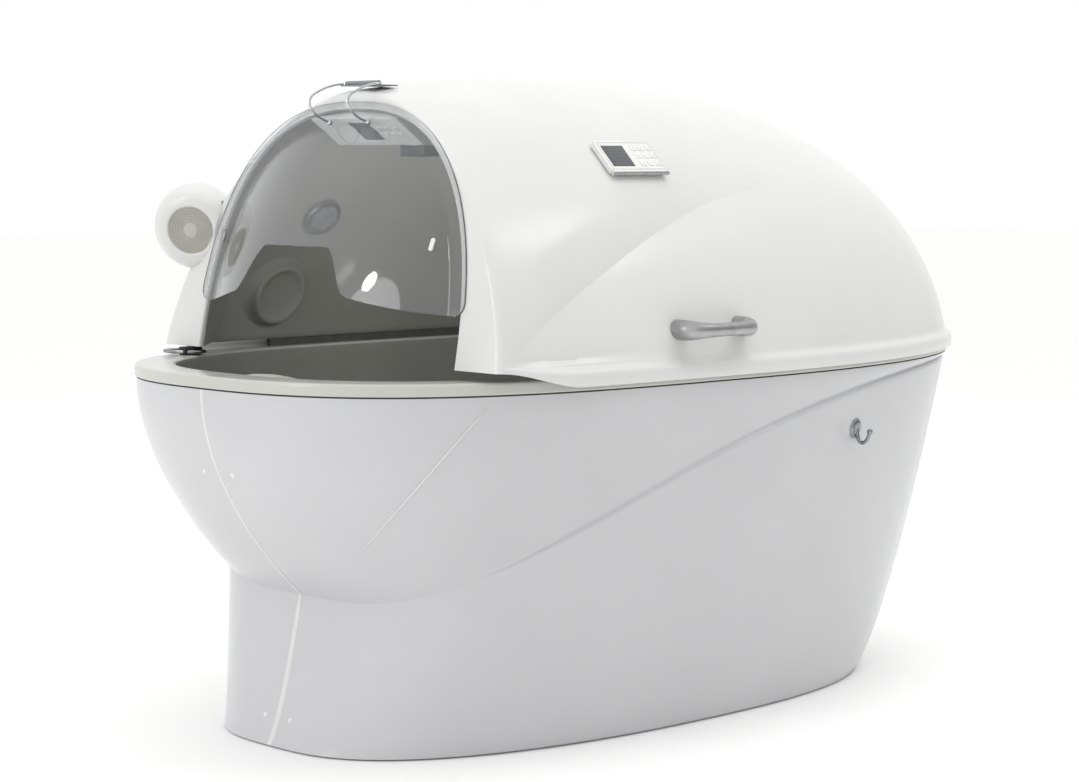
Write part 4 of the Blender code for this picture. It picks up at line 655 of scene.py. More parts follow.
def makeTub():
    points = [tubRows(evenAngle(2 * column / tubLook["columns"])) for column in range(tubLook["columns"])]
    rows = len(points[0]) - 1
    tub = gridPiece("tubMoulding", tubLook["columns"], rows,
                    lambda column, row: points[column % len(points)][row], tubLook["inside"], False)
    addWall(tub, tubLook["wall"], -1)
    dress(tub, "hull", deckGelcoat, ["tub"])
    tub.data.materials.append(greyAbs)
    for face in tub.data.polygons:
        x, y, z = face.center
        low = z < deckHeight - tubLook["greyDrop"]
        if low and insideOutline(x - shiftX, y, basinMouth) < tubLook["greyEdge"]:
            face.material_index = 1
    smoothShade(tub, 40)


makeTub()
print("tub made")


# lid: one dome moulding with an arched face, a rolled lip and a leaf line swept along each side
lidLook = {"frontX": -0.652, "base": 0.8001, "rise": 0.633, "frontDrop": 0.034, "narrowing": 0.026,
           "sectionPowers": (1.88, 1.6), "ridgePowers": (2.03, 2.36), "lean": 0.10, "ridgeShort": 0.25,
           "lipOut": 0.014, "lipLow": 0.7901, "frontEdge": 0.8271, "sweep": 0.22, "wall": 0.005,
           "archHalf": 0.44, "archRise": 0.532, "archPower": 2.5, "frontStations": 5, "footStations": 10,
           "columnsPerStation": 11, "faciaColumns": 5, "cornerColumns": 5, "cornerRound": 0.016,
           "returnDeep": 0.013, "archRound": 0.006, "archRoundColumns": 4, "inside": (0, 0, 0.9),
           "leafAim": 0.75, "leafStart": 0.007, "rowPower": 1.7, "rowsBelow": 30, "rowsAbove": 34,
           "archMost": 0.3, "cornerMost": 0.45, "ribSearch": (30, 16), "leafSearch": (0.03, 78, 18),
           "leafDeep": 0.017, "leafAbove": 0.15, "leafBelow": 0.40,
           "leafEnds": (-0.66, -0.44, -0.10, 0.50), "lipSweep": 0.10,
           "leafLine": ((-0.80, 0.69), (-0.6383, 0.832), (-0.5312, 0.91), (-0.4142, 0.975), (-0.2975, 1.029),
                        (-0.1478, 1.091), (0.0059, 1.142), (0.1251, 1.1705), (0.4272, 1.203), (0.85, 1.19),
                        (1.25, 1.05)),
           "lipRows": ((0.0, 0.70), (0.0008, 0.92), (0.004, 1.0), (0.013, 1.02), (0.022, 1.0), (0.028, 0.93),
                       (0.0325, 0.76), (0.036, 0.50), (0.0395, 0.24), (0.044, 0.07), (0.050, 0.0))}
lidStations = lidLook["frontStations"] + lidLook["footStations"]


def lidSpan(x, inset, full, loss, powers):
    # shrinks by the loss towards the front, to nothing at the foot
    if x < 0:
        return full - inset - loss * (x / lidLook["frontX"]) ** 2
    along, across = powers
    share = min(x / (rimShape["foot"] - inset), 1.0)
    return (full - inset) * (1 - share ** along) ** (1 / across)


def lidHalfWidth(x, inset=0.0):
    return lidSpan(x, inset, rimShape["half"], lidLook["narrowing"], rimShape["footPowers"])


def lidRise(x, inset=0.0):
    return lidSpan(x, inset, lidLook["rise"], lidLook["frontDrop"], lidLook["ridgePowers"])


def lidHeight(x, y, inset=0.0):
    across, up = lidLook["sectionPowers"]
    half = lidHalfWidth(x, inset)
    share = min(abs(y) / half, 1.0) if half > 0.00001 else 1.0
    return lidLook["base"] + lidRise(x, inset) * (1 - share ** across) ** (1 / up)


def lidReach(x, height, inset=0.0):
    across, up = lidLook["sectionPowers"]
    share = 1 - ((height - lidLook["base"]) / lidRise(x, inset)) ** up
    return lidHalfWidth(x, inset) * share ** (1 / across)


def lidEdge(station):
    if station <= lidLook["frontStations"]:
        x = lidLook["frontX"] * (1 - station / lidLook["frontStations"])
        return Vector((x, -lidHalfWidth(x)))
    halfTurns = (1 + (station - lidLook["frontStations"]) / lidLook["footStations"]) / 2
    return rimPlan(evenAngle(halfTurns))


def leaned(point):
    share = max(point.x / lidLook["frontX"], 0.0) ** 2
    point.x += lidLook["lean"] * share * (point.z - lidLook["frontEdge"]) / lidLook["archRise"]
    return point


def ribPoint(station, angle, inset=0.0):
    reach = max(math.cos(angle), 0.0) ** (2 / lidLook["sectionPowers"][0])
    edge = offsetPlan(lidEdge, station, -inset)
    ridgeX = edge.x * (1 - lidLook["ridgeShort"] * max(edge.x, 0.0) / rimShape["foot"])
    x = ridgeX + (edge.x - ridgeX) * reach
    y = edge.y * reach
    return Vector((x, y, lidHeight(x, y, inset)))


def narrowed(low, high, rounds, isShort):
    # halves the span until it holds the angle at which a rib stops falling short
    for _ in range(rounds):
        middle = (low + high) / 2
        if isShort(middle):
            low = middle
        else:
            high = middle
    return low


def ribAngle(station, height):
    # angle at which a rib reaches a height
    degrees, rounds = lidLook["ribSearch"]
    return narrowed(0.0, math.radians(degrees), rounds, lambda angle: ribPoint(station, angle).z < height)


def leafHeight(x):
    # swept line drawn through its points
    line = lidLook["leafLine"]
    at = max(1, min(len(line) - 3, sum(point[0] <= x for point in line) - 1))
    (x0, z0), (x1, z1), (x2, z2), (x3, z3) = line[at - 1:at + 3]
    share = min(max((x - x1) / (x2 - x1), 0.0), 1.0)
    start = (z2 - z0) / (x2 - x0) * (x2 - x1)
    end = (z3 - z1) / (x3 - x1) * (x2 - x1)
    square, cube = share ** 2, share ** 3
    return ((2 * cube - 3 * square + 1) * z1 + (cube - 2 * square + share) * start
            + (3 * square - 2 * cube) * z2 + (cube - square) * end)


def leafAngle(station, start):
    # angle at which a rib meets the swept line
    def isShort(angle):
        point = ribPoint(station, angle)
        return point.z < leafHeight(point.x)

    above, degrees, rounds = lidLook["leafSearch"]
    return narrowed(start + above, math.radians(degrees), rounds, isShort)


def leafLift(point):
    # the side is drawn in along the line: it rises soon above it, slowly below it
    first, full, fade, last = lidLook["leafEnds"]
    ends = smoothStep((point.x - first) / (full - first)) * smoothStep((last - point.x) / (last - fade))
    under = leafHeight(point.x) - point.z
    reach = lidLook["leafBelow"] if under > 0 else lidLook["leafAbove"]
    fall = max(1 - abs(under) / reach, 0.0) ** 2
    inward = Vector((0, -point.y, lidLook["leafAim"] - point.z)).normalized()
    return inward * lidLook["leafDeep"] * ends * fall


def archPoint(angle):
    y = -lidLook["archHalf"] * max(math.cos(angle), 0.0) ** (2 / lidLook["archPower"])
    z = lidLook["frontEdge"] + lidLook["archRise"] * math.sin(angle) ** (2 / lidLook["archPower"])
    return leaned(Vector((lidLook["frontX"], y, z)))


def lidRib(station):
    # points up one side of the dome at a station, from the lip's low edge to the ridge
    edge = lidEdge(station)
    share = smoothStep((edge.x - lidLook["frontX"]) / lidLook["sweep"])
    low = lidLook["frontEdge"] + (lidLook["lipLow"] - lidLook["frontEdge"]) * share
    tangent = (lidEdge(station + 0.01) - lidEdge(station - 0.01)).normalized()
    outward = Vector((tangent.y, -tangent.x, 0))
    lipShare = smoothStep((edge.x - lidLook["frontX"]) / lidLook["lipSweep"])
    ledge = lidLook["lipLow"] + lidLook["lipRows"][-1][0]
    points = []
    angles = []
    for lift, out in lidLook["lipRows"]:
        height = low + (ledge - low) * lift / lidLook["lipRows"][-1][0]
        angle = ribAngle(station, height)
        point = ribPoint(station, angle)
        point.z = height
        points.append(leaned(point + outward * out * lipShare * lidLook["lipOut"]))
        angles.append(angle)
    start = ribAngle(station, ledge + lidLook["leafStart"])
    leaf = leafAngle(station, start)
    power = lidLook["rowPower"]  # rows crowd towards the swept line
    spread = [start + (leaf - start) * (1 - (1 - step / lidLook["rowsBelow"]) ** power)
              for step in range(lidLook["rowsBelow"])]
    spread += [leaf + (math.pi / 2 - leaf) * (step / lidLook["rowsAbove"]) ** power
               for step in range(lidLook["rowsAbove"] + 1)]
    for angle in spread:
        point = ribPoint(station, angle)
        points.append(leaned(point + leafLift(point)))
        angles.append(angle)
    return points, angles


def bentColumns(first, corner, last, steps):
    # columns round the corner between two columns
    return list(zip(*(bends(a, b, c, steps) for a, b, c in zip(first, corner, last))))


def makeLidColumns():
    count = lidStations * lidLook["columnsPerStation"]
    firstStation = lidLook["cornerRound"] / (-lidLook["frontX"] / lidLook["frontStations"])
    corner, angles = lidRib(0)
    beside, _ = lidRib(firstStation)
    spread = [(angle - angles[0]) / (math.pi / 2 - angles[0]) * math.pi / 2 for angle in angles]
    arch = [archPoint(angle) for angle in spread]
    deep = [point + Vector((lidLook["returnDeep"], 0, 0)) for point in arch]
    near = [point + Vector((lidLook["archRound"], 0, 0)) for point in arch]
    onFace = []
    faceEnd = []
    for inner, outer in zip(arch, corner):
        long = (outer - inner).length
        onFace.append(inner.lerp(outer, min(lidLook["archRound"] / long, lidLook["archMost"])))
        faceEnd.append(outer.lerp(inner, min(lidLook["cornerRound"] / long, lidLook["cornerMost"])))
    columns = [deep] + bentColumns(near, arch, onFace, lidLook["archRoundColumns"])
    for step in range(1, lidLook["faciaColumns"]):
        columns.append([a.lerp(b, step / lidLook["faciaColumns"]) for a, b in zip(onFace, faceEnd)])
    columns += bentColumns(faceEnd, corner, beside, lidLook["cornerColumns"])
    for step in range(1, count + 1):
        columns.append(lidRib(firstStation + (lidStations - firstStation) * step / count)[0])
    return columns


def archedGrid(name, columns, outward=True):
    # each column runs up the near side to the ridge, and the far side mirrors it
    top = len(columns[0]) - 1

    def place(column, row):
        point = columns[column][min(row, 2 * top - row)].copy()
        if row > top:
            point.y = -point.y
        return point

    return gridPiece(name, len(columns) - 1, 2 * top, place, lidLook["inside"], outward)


def makeLidShell():
    lid = archedGrid("lidDome", makeLidColumns())
    addWall(lid, lidLook["wall"], -1)
    smoothShade(lid, 45)
    return lid


# lid dome in the lighter gelcoat copy: painted light
dress(makeLidShell(), "lid", litWhiteGelcoat, ["lid_shell"])
print("lid dome made")


# lid liner: grey moulding inside the dome
linerLook = {"inset": 0.034, "wall": 0.004, "flangeOut": 0.020, "flangeLift": 0.0195, "columnsPerStation": 7,
             "wallSide": 0.9, "frontColumns": 8, "sideRows": 40, "rowRise": 0.0012, "fascia": 0.006,
             "fasciaGap": 0.0005, "wallGap": 0.0003}


def fasciaBack(height):
    lean = lidLook["lean"] / lidLook["archRise"]
    front = lidLook["frontX"] + lean * (height - lidLook["frontEdge"])
    return front + linerLook["fascia"] * math.hypot(1, lean)


def linerRib(station):
    plan = offsetPlan(lidEdge, station, linerLook["flangeOut"] - linerLook["inset"])
    flange = raised(plan, deckHeight + linerLook["flangeLift"])
    points = [flange]
    for step in range(1, linerLook["sideRows"] + 1):
        angle = math.pi / 2 * step / linerLook["sideRows"]
        point = leaned(ribPoint(station, angle, linerLook["inset"]))
        point.z = max(point.z, flange.z + linerLook["rowRise"] * step)
        points.append(point)
    return points


def makeLidLiner():
    first = linerRib(1)
    rows = linerLook["sideRows"]
    arch = [archPoint(math.pi / 2 * step / rows) for step in range(rows + 1)]
    for point in arch:
        point.x = fasciaBack(point.z) + linerLook["fasciaGap"]
    columns = []
    for step in range(linerLook["frontColumns"]):
        share = step / linerLook["frontColumns"]
        columns.append([a.lerp(b, share) for a, b in zip(arch, first)])
    count = (lidStations - 1) * linerLook["columnsPerStation"]
    for step in range(count + 1):
        columns.append(linerRib(1 + (lidStations - 1) * step / count))
    liner = archedGrid("lidLining", columns, False)
    addWall(liner, linerLook["wall"], linerLook["wallSide"])
    for vert in liner.data.vertices:
        vert.co.x = max(vert.co.x, fasciaBack(vert.co.z) + linerLook["wallGap"] + shiftX)
    smoothShade(liner, 45)
    return liner


dress(makeLidLiner(), "lid", greyAbs, ["lid_liner"])
print("lid lining made")


# visor: one sheet of clear acrylic drawn over the arch, cut away for the face
visorLook = {"overlap": 0.016, "standoff": 0.004, "wall": 0.004, "bulge": 0.138, "rim": 0.90, "corner": 0.933,
             "cornerRound": 0.030, "lobeRise": 0.034, "lobePower": 1.6, "cutRise": 0.102, "cutHalf": 0.148,
             "cutSlope": 0.090, "columns": 150, "rows": 44, "inside": (0, 0, 0.95)}
visorWide = lidLook["archHalf"] + visorLook["overlap"]
visorTall = lidLook["archRise"] + visorLook["overlap"]
archPower = lidLook["archPower"]


def visorTop(y):
    wide = min(abs(y) / visorWide, 1.0)
    return lidLook["frontEdge"] + visorTall * (1 - wide ** archPower) ** (1 / archPower)


def visorHalf(height):
    tall = (height - lidLook["frontEdge"]) / visorTall
    return visorWide * (1 - tall ** archPower) ** (1 / archPower)


def visorBottom(y, half):
    # two low lobes with rounded corners, and the cut for the face between them
    cutEnd = visorLook["cutHalf"] + visorLook["cutSlope"] / 2
    share = min((half - abs(y)) / (half - cutEnd), 1.0)
    lobe = visorLook["corner"] + visorLook["lobeRise"] * share ** visorLook["lobePower"]
    cut = smoothStep((cutEnd - abs(y)) / visorLook["cutSlope"])
    corner = max(1 - (half - abs(y)) / visorLook["cornerRound"], 0.0)
    rounding = visorLook["cornerRound"] * (1 - math.sqrt(1 - corner * corner))
    return lobe + visorLook["cutRise"] * cut + rounding


def visorPoint(y, z):
    wide = abs(y) / visorWide
    tall = max(z - lidLook["frontEdge"], 0.0) / visorTall
    share = (wide ** archPower + tall ** archPower) ** (1 / archPower)
    dome = 1 - min(share / visorLook["rim"], 1.0) ** 2
    point = leaned(Vector((lidLook["frontX"], y, z)))
    point.x -= visorLook["standoff"] + visorLook["bulge"] * dome
    return point


def makeVisor():
    half = visorHalf(visorLook["corner"] + visorLook["cornerRound"])

    def place(column, row):
        y = -half * math.cos(math.pi * column / visorLook["columns"])
        low = visorBottom(y, half)
        high = max(visorTop(y), low)
        return visorPoint(y, low + (high - low) * row / visorLook["rows"])

    visor = gridPiece("visorSheet", visorLook["columns"], visorLook["rows"], place, visorLook["inside"])
    faces = len(visor.data.polygons)
    addWall(visor, visorLook["wall"], -1)
    smoothShade(visor, 30)
    dress(visor, "visor", clearAcrylic, ["visor"])
    # the visor's edge faces take the dark grey: painted shade
    visor.data.materials.append(shadedAcrylicEdge)
    for face in visor.data.polygons[2 * faces:]:
        face.material_index = 1
    return visor


visor = makeVisor()
visor.visible_shadow = False  # clear sheet, lets the light through to the lining
print("visor made")


# fan pod: rounded cowl set round the lid's front corner, ringed cover over the fan
fanLook = {"place": (-0.783, 0.4845, 1.0905), "axis": (-0.806707, -0.564863, -0.173648), "radius": 0.0995,
           "lip": 0.066, "shoulder": 0.050, "back": 0.075, "front": 0.003, "mouth": 0.0545, "cavity": 0.040,
           "steps": 10, "rings": 10, "ringPitch": 0.0037, "ringWide": 0.0031, "ringFirst": 0.0181,
           "ringEase": 0.0007, "ringClear": 0.0003, "hub": 0.0176, "hubEase": 0.0006, "cover": 0.003,
           "hubTop": ((0, 0.0004), (0.012, 0.0003), (0.0165, 0.0001)), "spoke": (0.003, 0.0012),
           "spokeShort": 0.003, "spokeBack": 0.55, "spokeRound": (0.0008, 0.0003), "spokeTurns": (20, 110),
           "visorClear": 0.008, "frontClear": 0.0038, "sideClear": 0.0003, "sideX": -0.60,
           "lipRim": (0.002, 0.004, 0.0012)}
fanPlace = facing(fanLook["place"], fanLook["axis"], (0, 0, 1))


def farSide(x, height, inset=0.0):
    # the far side of the dome, or of what lies inset from it
    def place(along, up):
        return leaned(Vector((along, lidReach(along, up, inset), up)))

    return waysOn(place, x, height)


def cutPiece(piece, point, normal):
    # takes away what lies on the normal's side of a plane and closes the cut
    pick(piece)
    editAll()
    bpy.ops.mesh.bisect(plane_co=point, plane_no=normal, use_fill=True, clear_outer=True)
    leaveEdit()


def cutAway(piece, cutter):
    change = piece.modifiers.new("cut", "BOOLEAN")
    change.operation = "DIFFERENCE"
    change.object = cutter
    applyModifiers(piece)
    bpy.data.objects.remove(cutter)


def makeCowl():
    front = fanLook["front"]
    inner, outer, rise = fanLook["lipRim"]
    profile = [(0, front), (fanLook["mouth"], front), (fanLook["mouth"] + inner, front + rise),
               (fanLook["lip"] - outer, front + rise)]
    for step in range(fanLook["steps"] + 1):
        turn = math.pi / 2 * step / fanLook["steps"]
        radius = fanLook["lip"] + (fanLook["radius"] - fanLook["lip"]) * math.sin(turn)
        profile.append((radius, front - fanLook["shoulder"] * (1 - math.cos(turn))))
    for step in range(1, fanLook["steps"] + 1):
        turn = math.pi / 2 * step / fanLook["steps"]
        depth = fanLook["shoulder"] + fanLook["back"] * math.sin(turn)
        profile.append((fanLook["radius"] * math.cos(turn), front - depth))
    profile[-1] = (0, profile[-1][1])
    cowl = lathe("fanCowl", profile, fanPlace, 72)
    height = fanLook["place"][2]
    edge = Vector((0, visorHalf(height), height))
    along = Vector((0, visorHalf(height + 0.01), height + 0.01)) - edge
    inward = Vector((0, -along.z, along.y)).normalized()
    cutPiece(cowl, edge - inward * fanLook["visorClear"], inward)
    facePoint = Vector((lidLook["frontX"] + shiftX, 0, lidLook["frontEdge"]))
    faceOut = Vector((-lidLook["archRise"], 0, lidLook["lean"])).normalized()
    deselectAll()
    bpy.ops.mesh.primitive_cube_add(size=0.5, location=fanLook["place"])
    corner = bpy.context.object
    settle(corner, corner.matrix_world.copy())
    side, ahead, climb = farSide(fanLook["sideX"], height)
    outward = climb.cross(ahead).normalized()
    cutPiece(corner, facePoint + faceOut * fanLook["sideClear"], faceOut)
    cutPiece(corner, side + outward * fanLook["sideClear"], outward)
    cutAway(cowl, corner)
    deselectAll()
    bpy.ops.mesh.primitive_cylinder_add(vertices=72, radius=fanLook["mouth"], depth=2 * fanLook["cavity"])
    cavity = settle(bpy.context.object, fanPlace)
    cutPiece(cavity, facePoint + faceOut * fanLook["frontClear"], -faceOut)
    cutAway(cowl, cavity)
    smoothShade(cowl, 36)
    return cowl


def makeFanCover():
    # rounded rings round a plain middle, carried by four spokes behind them
    place = fanPlace @ Matrix.Translation((0, 0, fanLook["front"]))
    thick = fanLook["cover"]
    radius = fanLook["hub"]
    hub = [*fanLook["hubTop"], (radius, -fanLook["hubEase"]), (radius, -thick), (0, -thick)]
    rings = [lathe("fanCover", hub, place, 48)]
    for number in range(fanLook["rings"]):
        inner = fanLook["ringFirst"] + fanLook["ringPitch"] * number
        outer = min(inner + fanLook["ringWide"], fanLook["mouth"] - fanLook["ringClear"])
        soft = fanLook["ringEase"]
        profile = [(inner, -thick), (inner, -soft), (inner + soft, 0), (outer - soft, 0), (outer, -soft),
                   (outer, -thick), (inner, -thick)]
        rings.append(lathe("ring", profile, place, 56))
    size = (2 * fanLook["mouth"] - fanLook["spokeShort"], *fanLook["spoke"])
    behind = Matrix.Translation((0, 0, -thick * fanLook["spokeBack"]))
    for degrees in fanLook["spokeTurns"]:
        turn = Matrix.Rotation(math.radians(degrees), 4, "Z")
        rings.append(slab("spoke", size, *fanLook["spokeRound"], place @ turn @ behind))
    return joinAll(rings)


dress(makeCowl(), "lid", litWhiteGelcoat, ["fan_cowl"])
dress(makeFanCover(), "lid", creamAbs, ["fan_grille"])
print("fan pod made")


# lid handle: cast bow with trumpet feet
handleLook = {"x": -0.056, "height": 0.893, "long": 0.184, "standoff": 0.053, "foot": 0.022, "middle": 0.0145,
              "bowPower": 0.6, "swellPower": 2, "sink": 0.010, "points": 25}


def makeHandle():
    wall = -lidReach(handleLook["x"], handleLook["height"])
    points = []
    radii = []
    for number in range(handleLook["points"]):
        turn = math.pi * number / (handleLook["points"] - 1)
        x = handleLook["x"] - handleLook["long"] / 2 * signedPower(math.cos(turn), handleLook["bowPower"])
        y = wall - handleLook["standoff"] * math.sin(turn) ** handleLook["bowPower"]
        if number in (0, handleLook["points"] - 1):
            y += handleLook["sink"]
        points.append((x + shiftX, y, handleLook["height"]))
        swell = abs(math.cos(turn)) ** handleLook["swellPower"]
        radii.append(handleLook["middle"] + (handleLook["foot"] - handleLook["middle"]) * swell)
    return rod("lidHandle", points, radii)


dress(makeHandle(), "lid", satinNickel, ["lid_handle"])
print("handle made")


# robe hook: domed rosette with a round wire hook and a ball tip
hookLook = {"place": (0.32302, -0.55405, 0.63698), "out": (0.15121, -0.97825, -0.14196),
            "up": (0.02169, -0.1403, 0.98987), "tall": 1.12, "wire": 0.0045, "reach": 0.034, "drop": 0.030,
            "ball": 0.0068, "start": (0.003, 0.006), "steps": 8,
            "rosette": ((0, 0.0080), (0.009, 0.0077), (0.015, 0.0066), (0.0188, 0.0046), (0.0206, 0.0024),
                        (0.021, 0), (0, 0))}


def ballProfile(radius, steps=8):
    turns = [math.pi * step / steps for step in range(1, steps)]
    side = [(radius * math.sin(turn), radius * math.cos(turn)) for turn in turns]
    return [(0, radius)] + side + [(0, -radius)]


def makeHook():
    place = facing(hookLook["place"], hookLook["out"], hookLook["up"])
    rosette = lathe("robeHook", hookLook["rosette"], place @ Matrix.Diagonal((hookLook["tall"], 1, 1, 1)), 56)
    root, bow = hookLook["start"]
    points = [(0, 0, root)]
    for number in range(hookLook["steps"] + 1):
        turn = math.pi * number / hookLook["steps"]
        reach = hookLook["reach"] * (1 - math.cos(turn)) / 2
        points.append((-hookLook["drop"] * math.sin(turn), 0, bow + reach))
    hook = rod("hookWire", points, [hookLook["wire"]] * len(points), place)
    tip = lathe("hookTip", ballProfile(hookLook["ball"]), place @ Matrix.Translation(points[-1]), 24)
    return joinAll((rosette, hook, tip))


dress(makeHook(), "hull", dullChrome, ["robe_hook"])
print("robe hook made")


# outer panel: bezel with a thin inlaid line, dotted window, key caps with printed marks, rod along its foot
panelLook = {"place": (-0.241, -0.38103, 1.25038), "out": (0, -0.70849, 0.70572), "face": 0.012,
             "wide": 0.172, "tall": 0.094, "edge": 0.0016, "lineIn": 0.0065, "lineWide": 0.0012,
             "lineProud": 0.0003, "lineThick": 0.0007, "lineCorner": 0.003, "rodRadius": 0.0042,
             "rodLong": 0.166, "rodPlace": (0.003, -0.0015, -0.004), "rodEnd": (0.7, 0.35),
             "keyEdge": 0.0012, "markIn": 0.0046, "windowEdge": 0.0004}
panelPlace = facing(panelLook["place"], panelLook["out"], (1, 0, 0))


def makeBorderLine():
    place = panelPlace @ Matrix.Translation((0, 0, panelLook["face"] + panelLook["lineProud"]))
    wide = panelLook["wide"] - 2 * panelLook["lineIn"]
    tall = panelLook["tall"] - 2 * panelLook["lineIn"]
    line = startPlate("panelLine", wide, tall, panelLook["lineCorner"], 4)
    bpy.ops.mesh.inset(thickness=panelLook["lineWide"])
    bpy.ops.mesh.delete(type="FACE")
    bpy.ops.mesh.select_all(action="SELECT")
    thicken(line, panelLook["lineThick"])
    return settle(line, place)


def makePanelRod():
    along, down, back = panelLook["rodPlace"]
    frontEdge = Matrix.Translation((along, -panelLook["tall"] / 2 + down, panelLook["face"] + back))
    lying = Matrix.Rotation(math.radians(90), 4, "Y")
    half = panelLook["rodLong"] / 2
    radius = panelLook["rodRadius"]
    flat, ease = (radius * share for share in panelLook["rodEnd"])
    profile = [(0, -half), (flat, -half), (radius, -half + ease), (radius, half - ease), (flat, half),
               (0, half)]
    return lathe("panelRod", profile, panelPlace @ frontEdge @ lying, 28)


def makeKey(nodeName, out):
    key = easedCopy(nodeName, panelLook["keyEdge"], nodeName, whiteAbs, "white_plastic")
    key.data.materials.append(greyKeyAbs)
    top = max(key.data.polygons, key=lambda face: face.normal.dot(Vector(out)) * face.area).index
    pick(key)
    bpy.ops.object.mode_set(mode="EDIT")
    bpy.ops.mesh.select_mode(type="FACE")
    bpy.ops.mesh.select_all(action="DESELECT")
    leaveEdit()
    key.data.polygons[top].select = True
    bpy.ops.object.mode_set(mode="EDIT")
    bpy.ops.mesh.inset(thickness=panelLook["markIn"])
    key.active_material_index = 1
    bpy.ops.object.material_slot_assign()
    bpy.ops.mesh.select_mode(type="VERT")
    leaveEdit()
    return key


easedCopy("panel_bezel", panelLook["edge"], "lid", whiteAbs, "white_plastic", 3)
easedCopy("panel_display", panelLook["windowEdge"], "lid", dottedWindow, "display_glass", 2, "panelWindow")
dress(makeBorderLine(), "lid", greyKeyAbs)
dress(makePanelRod(), "lid", satinNickel)
for number in range(1, 10):
    makeKey(f"panel_key_{number}", panelLook["out"])
print("outer panel made")


# console under the crest of the lid
consoleLook = {"out": (-0.58779, 0, -0.80902), "edge": 0.003, "ventEdge": 0.0025}
easedCopy("console_housing", consoleLook["edge"], "lid", whiteAbs, "white_plastic", 3)
easedCopy("console_display", panelLook["windowEdge"], "lid", dottedWindow, "display_glass", 2,
          "consoleWindow")
for number in range(1, 7):
    makeKey(f"console_key_{number}", consoleLook["out"])
easedCopy("aroma_vent", consoleLook["ventEdge"], "lid", blackAbs, "black_plastic", 3)
print("console made")


# boss on the far inner wall: raised ring with a soft dish; lamp above it
lampLook = {"ringEdge": 0.002, "lensEdge": 0.0015}
bossLook = {"place": (-0.376, 0.94),
            "profile": ((0, 0.0180), (0.024, 0.0184), (0.044, 0.0200), (0.054, 0.0232), (0.060, 0.0276),
                        (0.064, 0.0300), (0.068, 0.0306), (0.0715, 0.0294), (0.0740, 0.0262),
                        (0.0765, 0.0205), (0.080, 0.0150), (0.086, 0.0105), (0.094, 0.0060),
                        (0.103, 0.001), (0.110, -0.004), (0.110, -0.012), (0, -0.012))}
screwLook = {"place": (-0.292, 1.0096), "profile": ((0, 0.0034), (0.003, 0.0032), (0.0055, 0.0020),
                                                    (0.0066, 0), (0.0066, -0.004), (0, -0.004))}


def linerPlace(x, height):
    middle, ahead, climb = farSide(x, height, linerLook["inset"])
    return facing(middle, ahead.cross(climb), (1, 0, 0))


bossPlace = linerPlace(*bossLook["place"])
dress(lathe("wallBoss", bossLook["profile"], bossPlace, 80), "lid", greyAbs, ["wall_speaker"])
easedCopy("lamp_ring", lampLook["ringEdge"], "lid", dullChrome, "chrome", 3)
easedCopy("lamp_lens", lampLook["lensEdge"], "lid", lampGlass, "lamp_glass")
screwPlace = linerPlace(*screwLook["place"])
dress(lathe("liningScrew", screwLook["profile"], screwPlace, 24), "lid", dullChrome)
print("boss and lamp made")


# visor bracket, wire arms with ball screws, catches at the visor's edges
armLook = {"axis": (-0.525, 1.41486), "reach": 0.092, "dip": 0.028, "turn": 0.034, "out": 0.0653,
           "barrel": 0.0553, "wire": 0.0026, "screwHeight": 1.3313, "ball": 0.0062, "ballOut": 0.004,
           "corner": 0.003, "shares": (0.3, 0.6, 0.85, 1.0), "loop": (0.006, 0.004),
           "tail": ((0.018, 0.002), (0.001, 0.0)), "bracketEdge": 0.0008}


def makeArm(name, side):
    x, height = armLook["axis"]
    reach, dip, turn, out = (armLook[key] for key in ("reach", "dip", "turn", "out"))
    screwHeight = armLook["screwHeight"]
    front = x - reach
    turnTop = height - dip
    screwX = visorPoint(out, screwHeight).x
    corner = armLook["corner"]
    ahead, behind = armLook["loop"]
    points = [(x, armLook["barrel"], height), (x, out - corner, height), (x - corner, out, height)]
    points += [(x - reach * share, out, height - dip * share ** 2) for share in armLook["shares"]]
    points += [(front - ahead, out, turnTop - turn / 2), (front + behind, out, turnTop - turn)]
    points += [(screwX - short, out, screwHeight + up) for short, up in armLook["tail"]]
    points = [(px + shiftX, side * py, pz) for px, py, pz in points]
    wire = rod(name, points, [armLook["wire"]] * len(points))
    screwPlace = Matrix.Translation((screwX + shiftX - armLook["ballOut"], side * out, screwHeight))
    screw = lathe("armScrew", ballProfile(armLook["ball"]), screwPlace, 24)
    return joinAll((wire, screw))


easedCopy("visor_bracket", armLook["bracketEdge"], "lid", dullChrome, "steel")
for end, side in (("Near", -1), ("Far", 1)):
    dress(makeArm(f"visorArm{end}", side), "visor", chromePlate, [f"visor_arm_{end.lower()}"])
catchLook = {"near": (-0.347, 1.078), "far": (0.399, 1.080), "size": (0.028, 0.010, 0.004), "proud": 0.0035,
             "corner": 0.004, "edge": 0.0012}


def makeCatch(name, where):
    point, ahead, climb = waysOn(visorPoint, *where)
    out = ahead.cross(climb)
    if out.x > 0:
        out = -out
    place = facing(point + out.normalized() * catchLook["proud"], out, climb)
    return slab(name, catchLook["size"], catchLook["corner"], catchLook["edge"], place)


dress(makeCatch("visorCatchNear", catchLook["near"]), "visor", whiteAbs)
dress(makeCatch("visorCatchFar", catchLook["far"]), "visor", satinNickel)
print("visor fittings made")


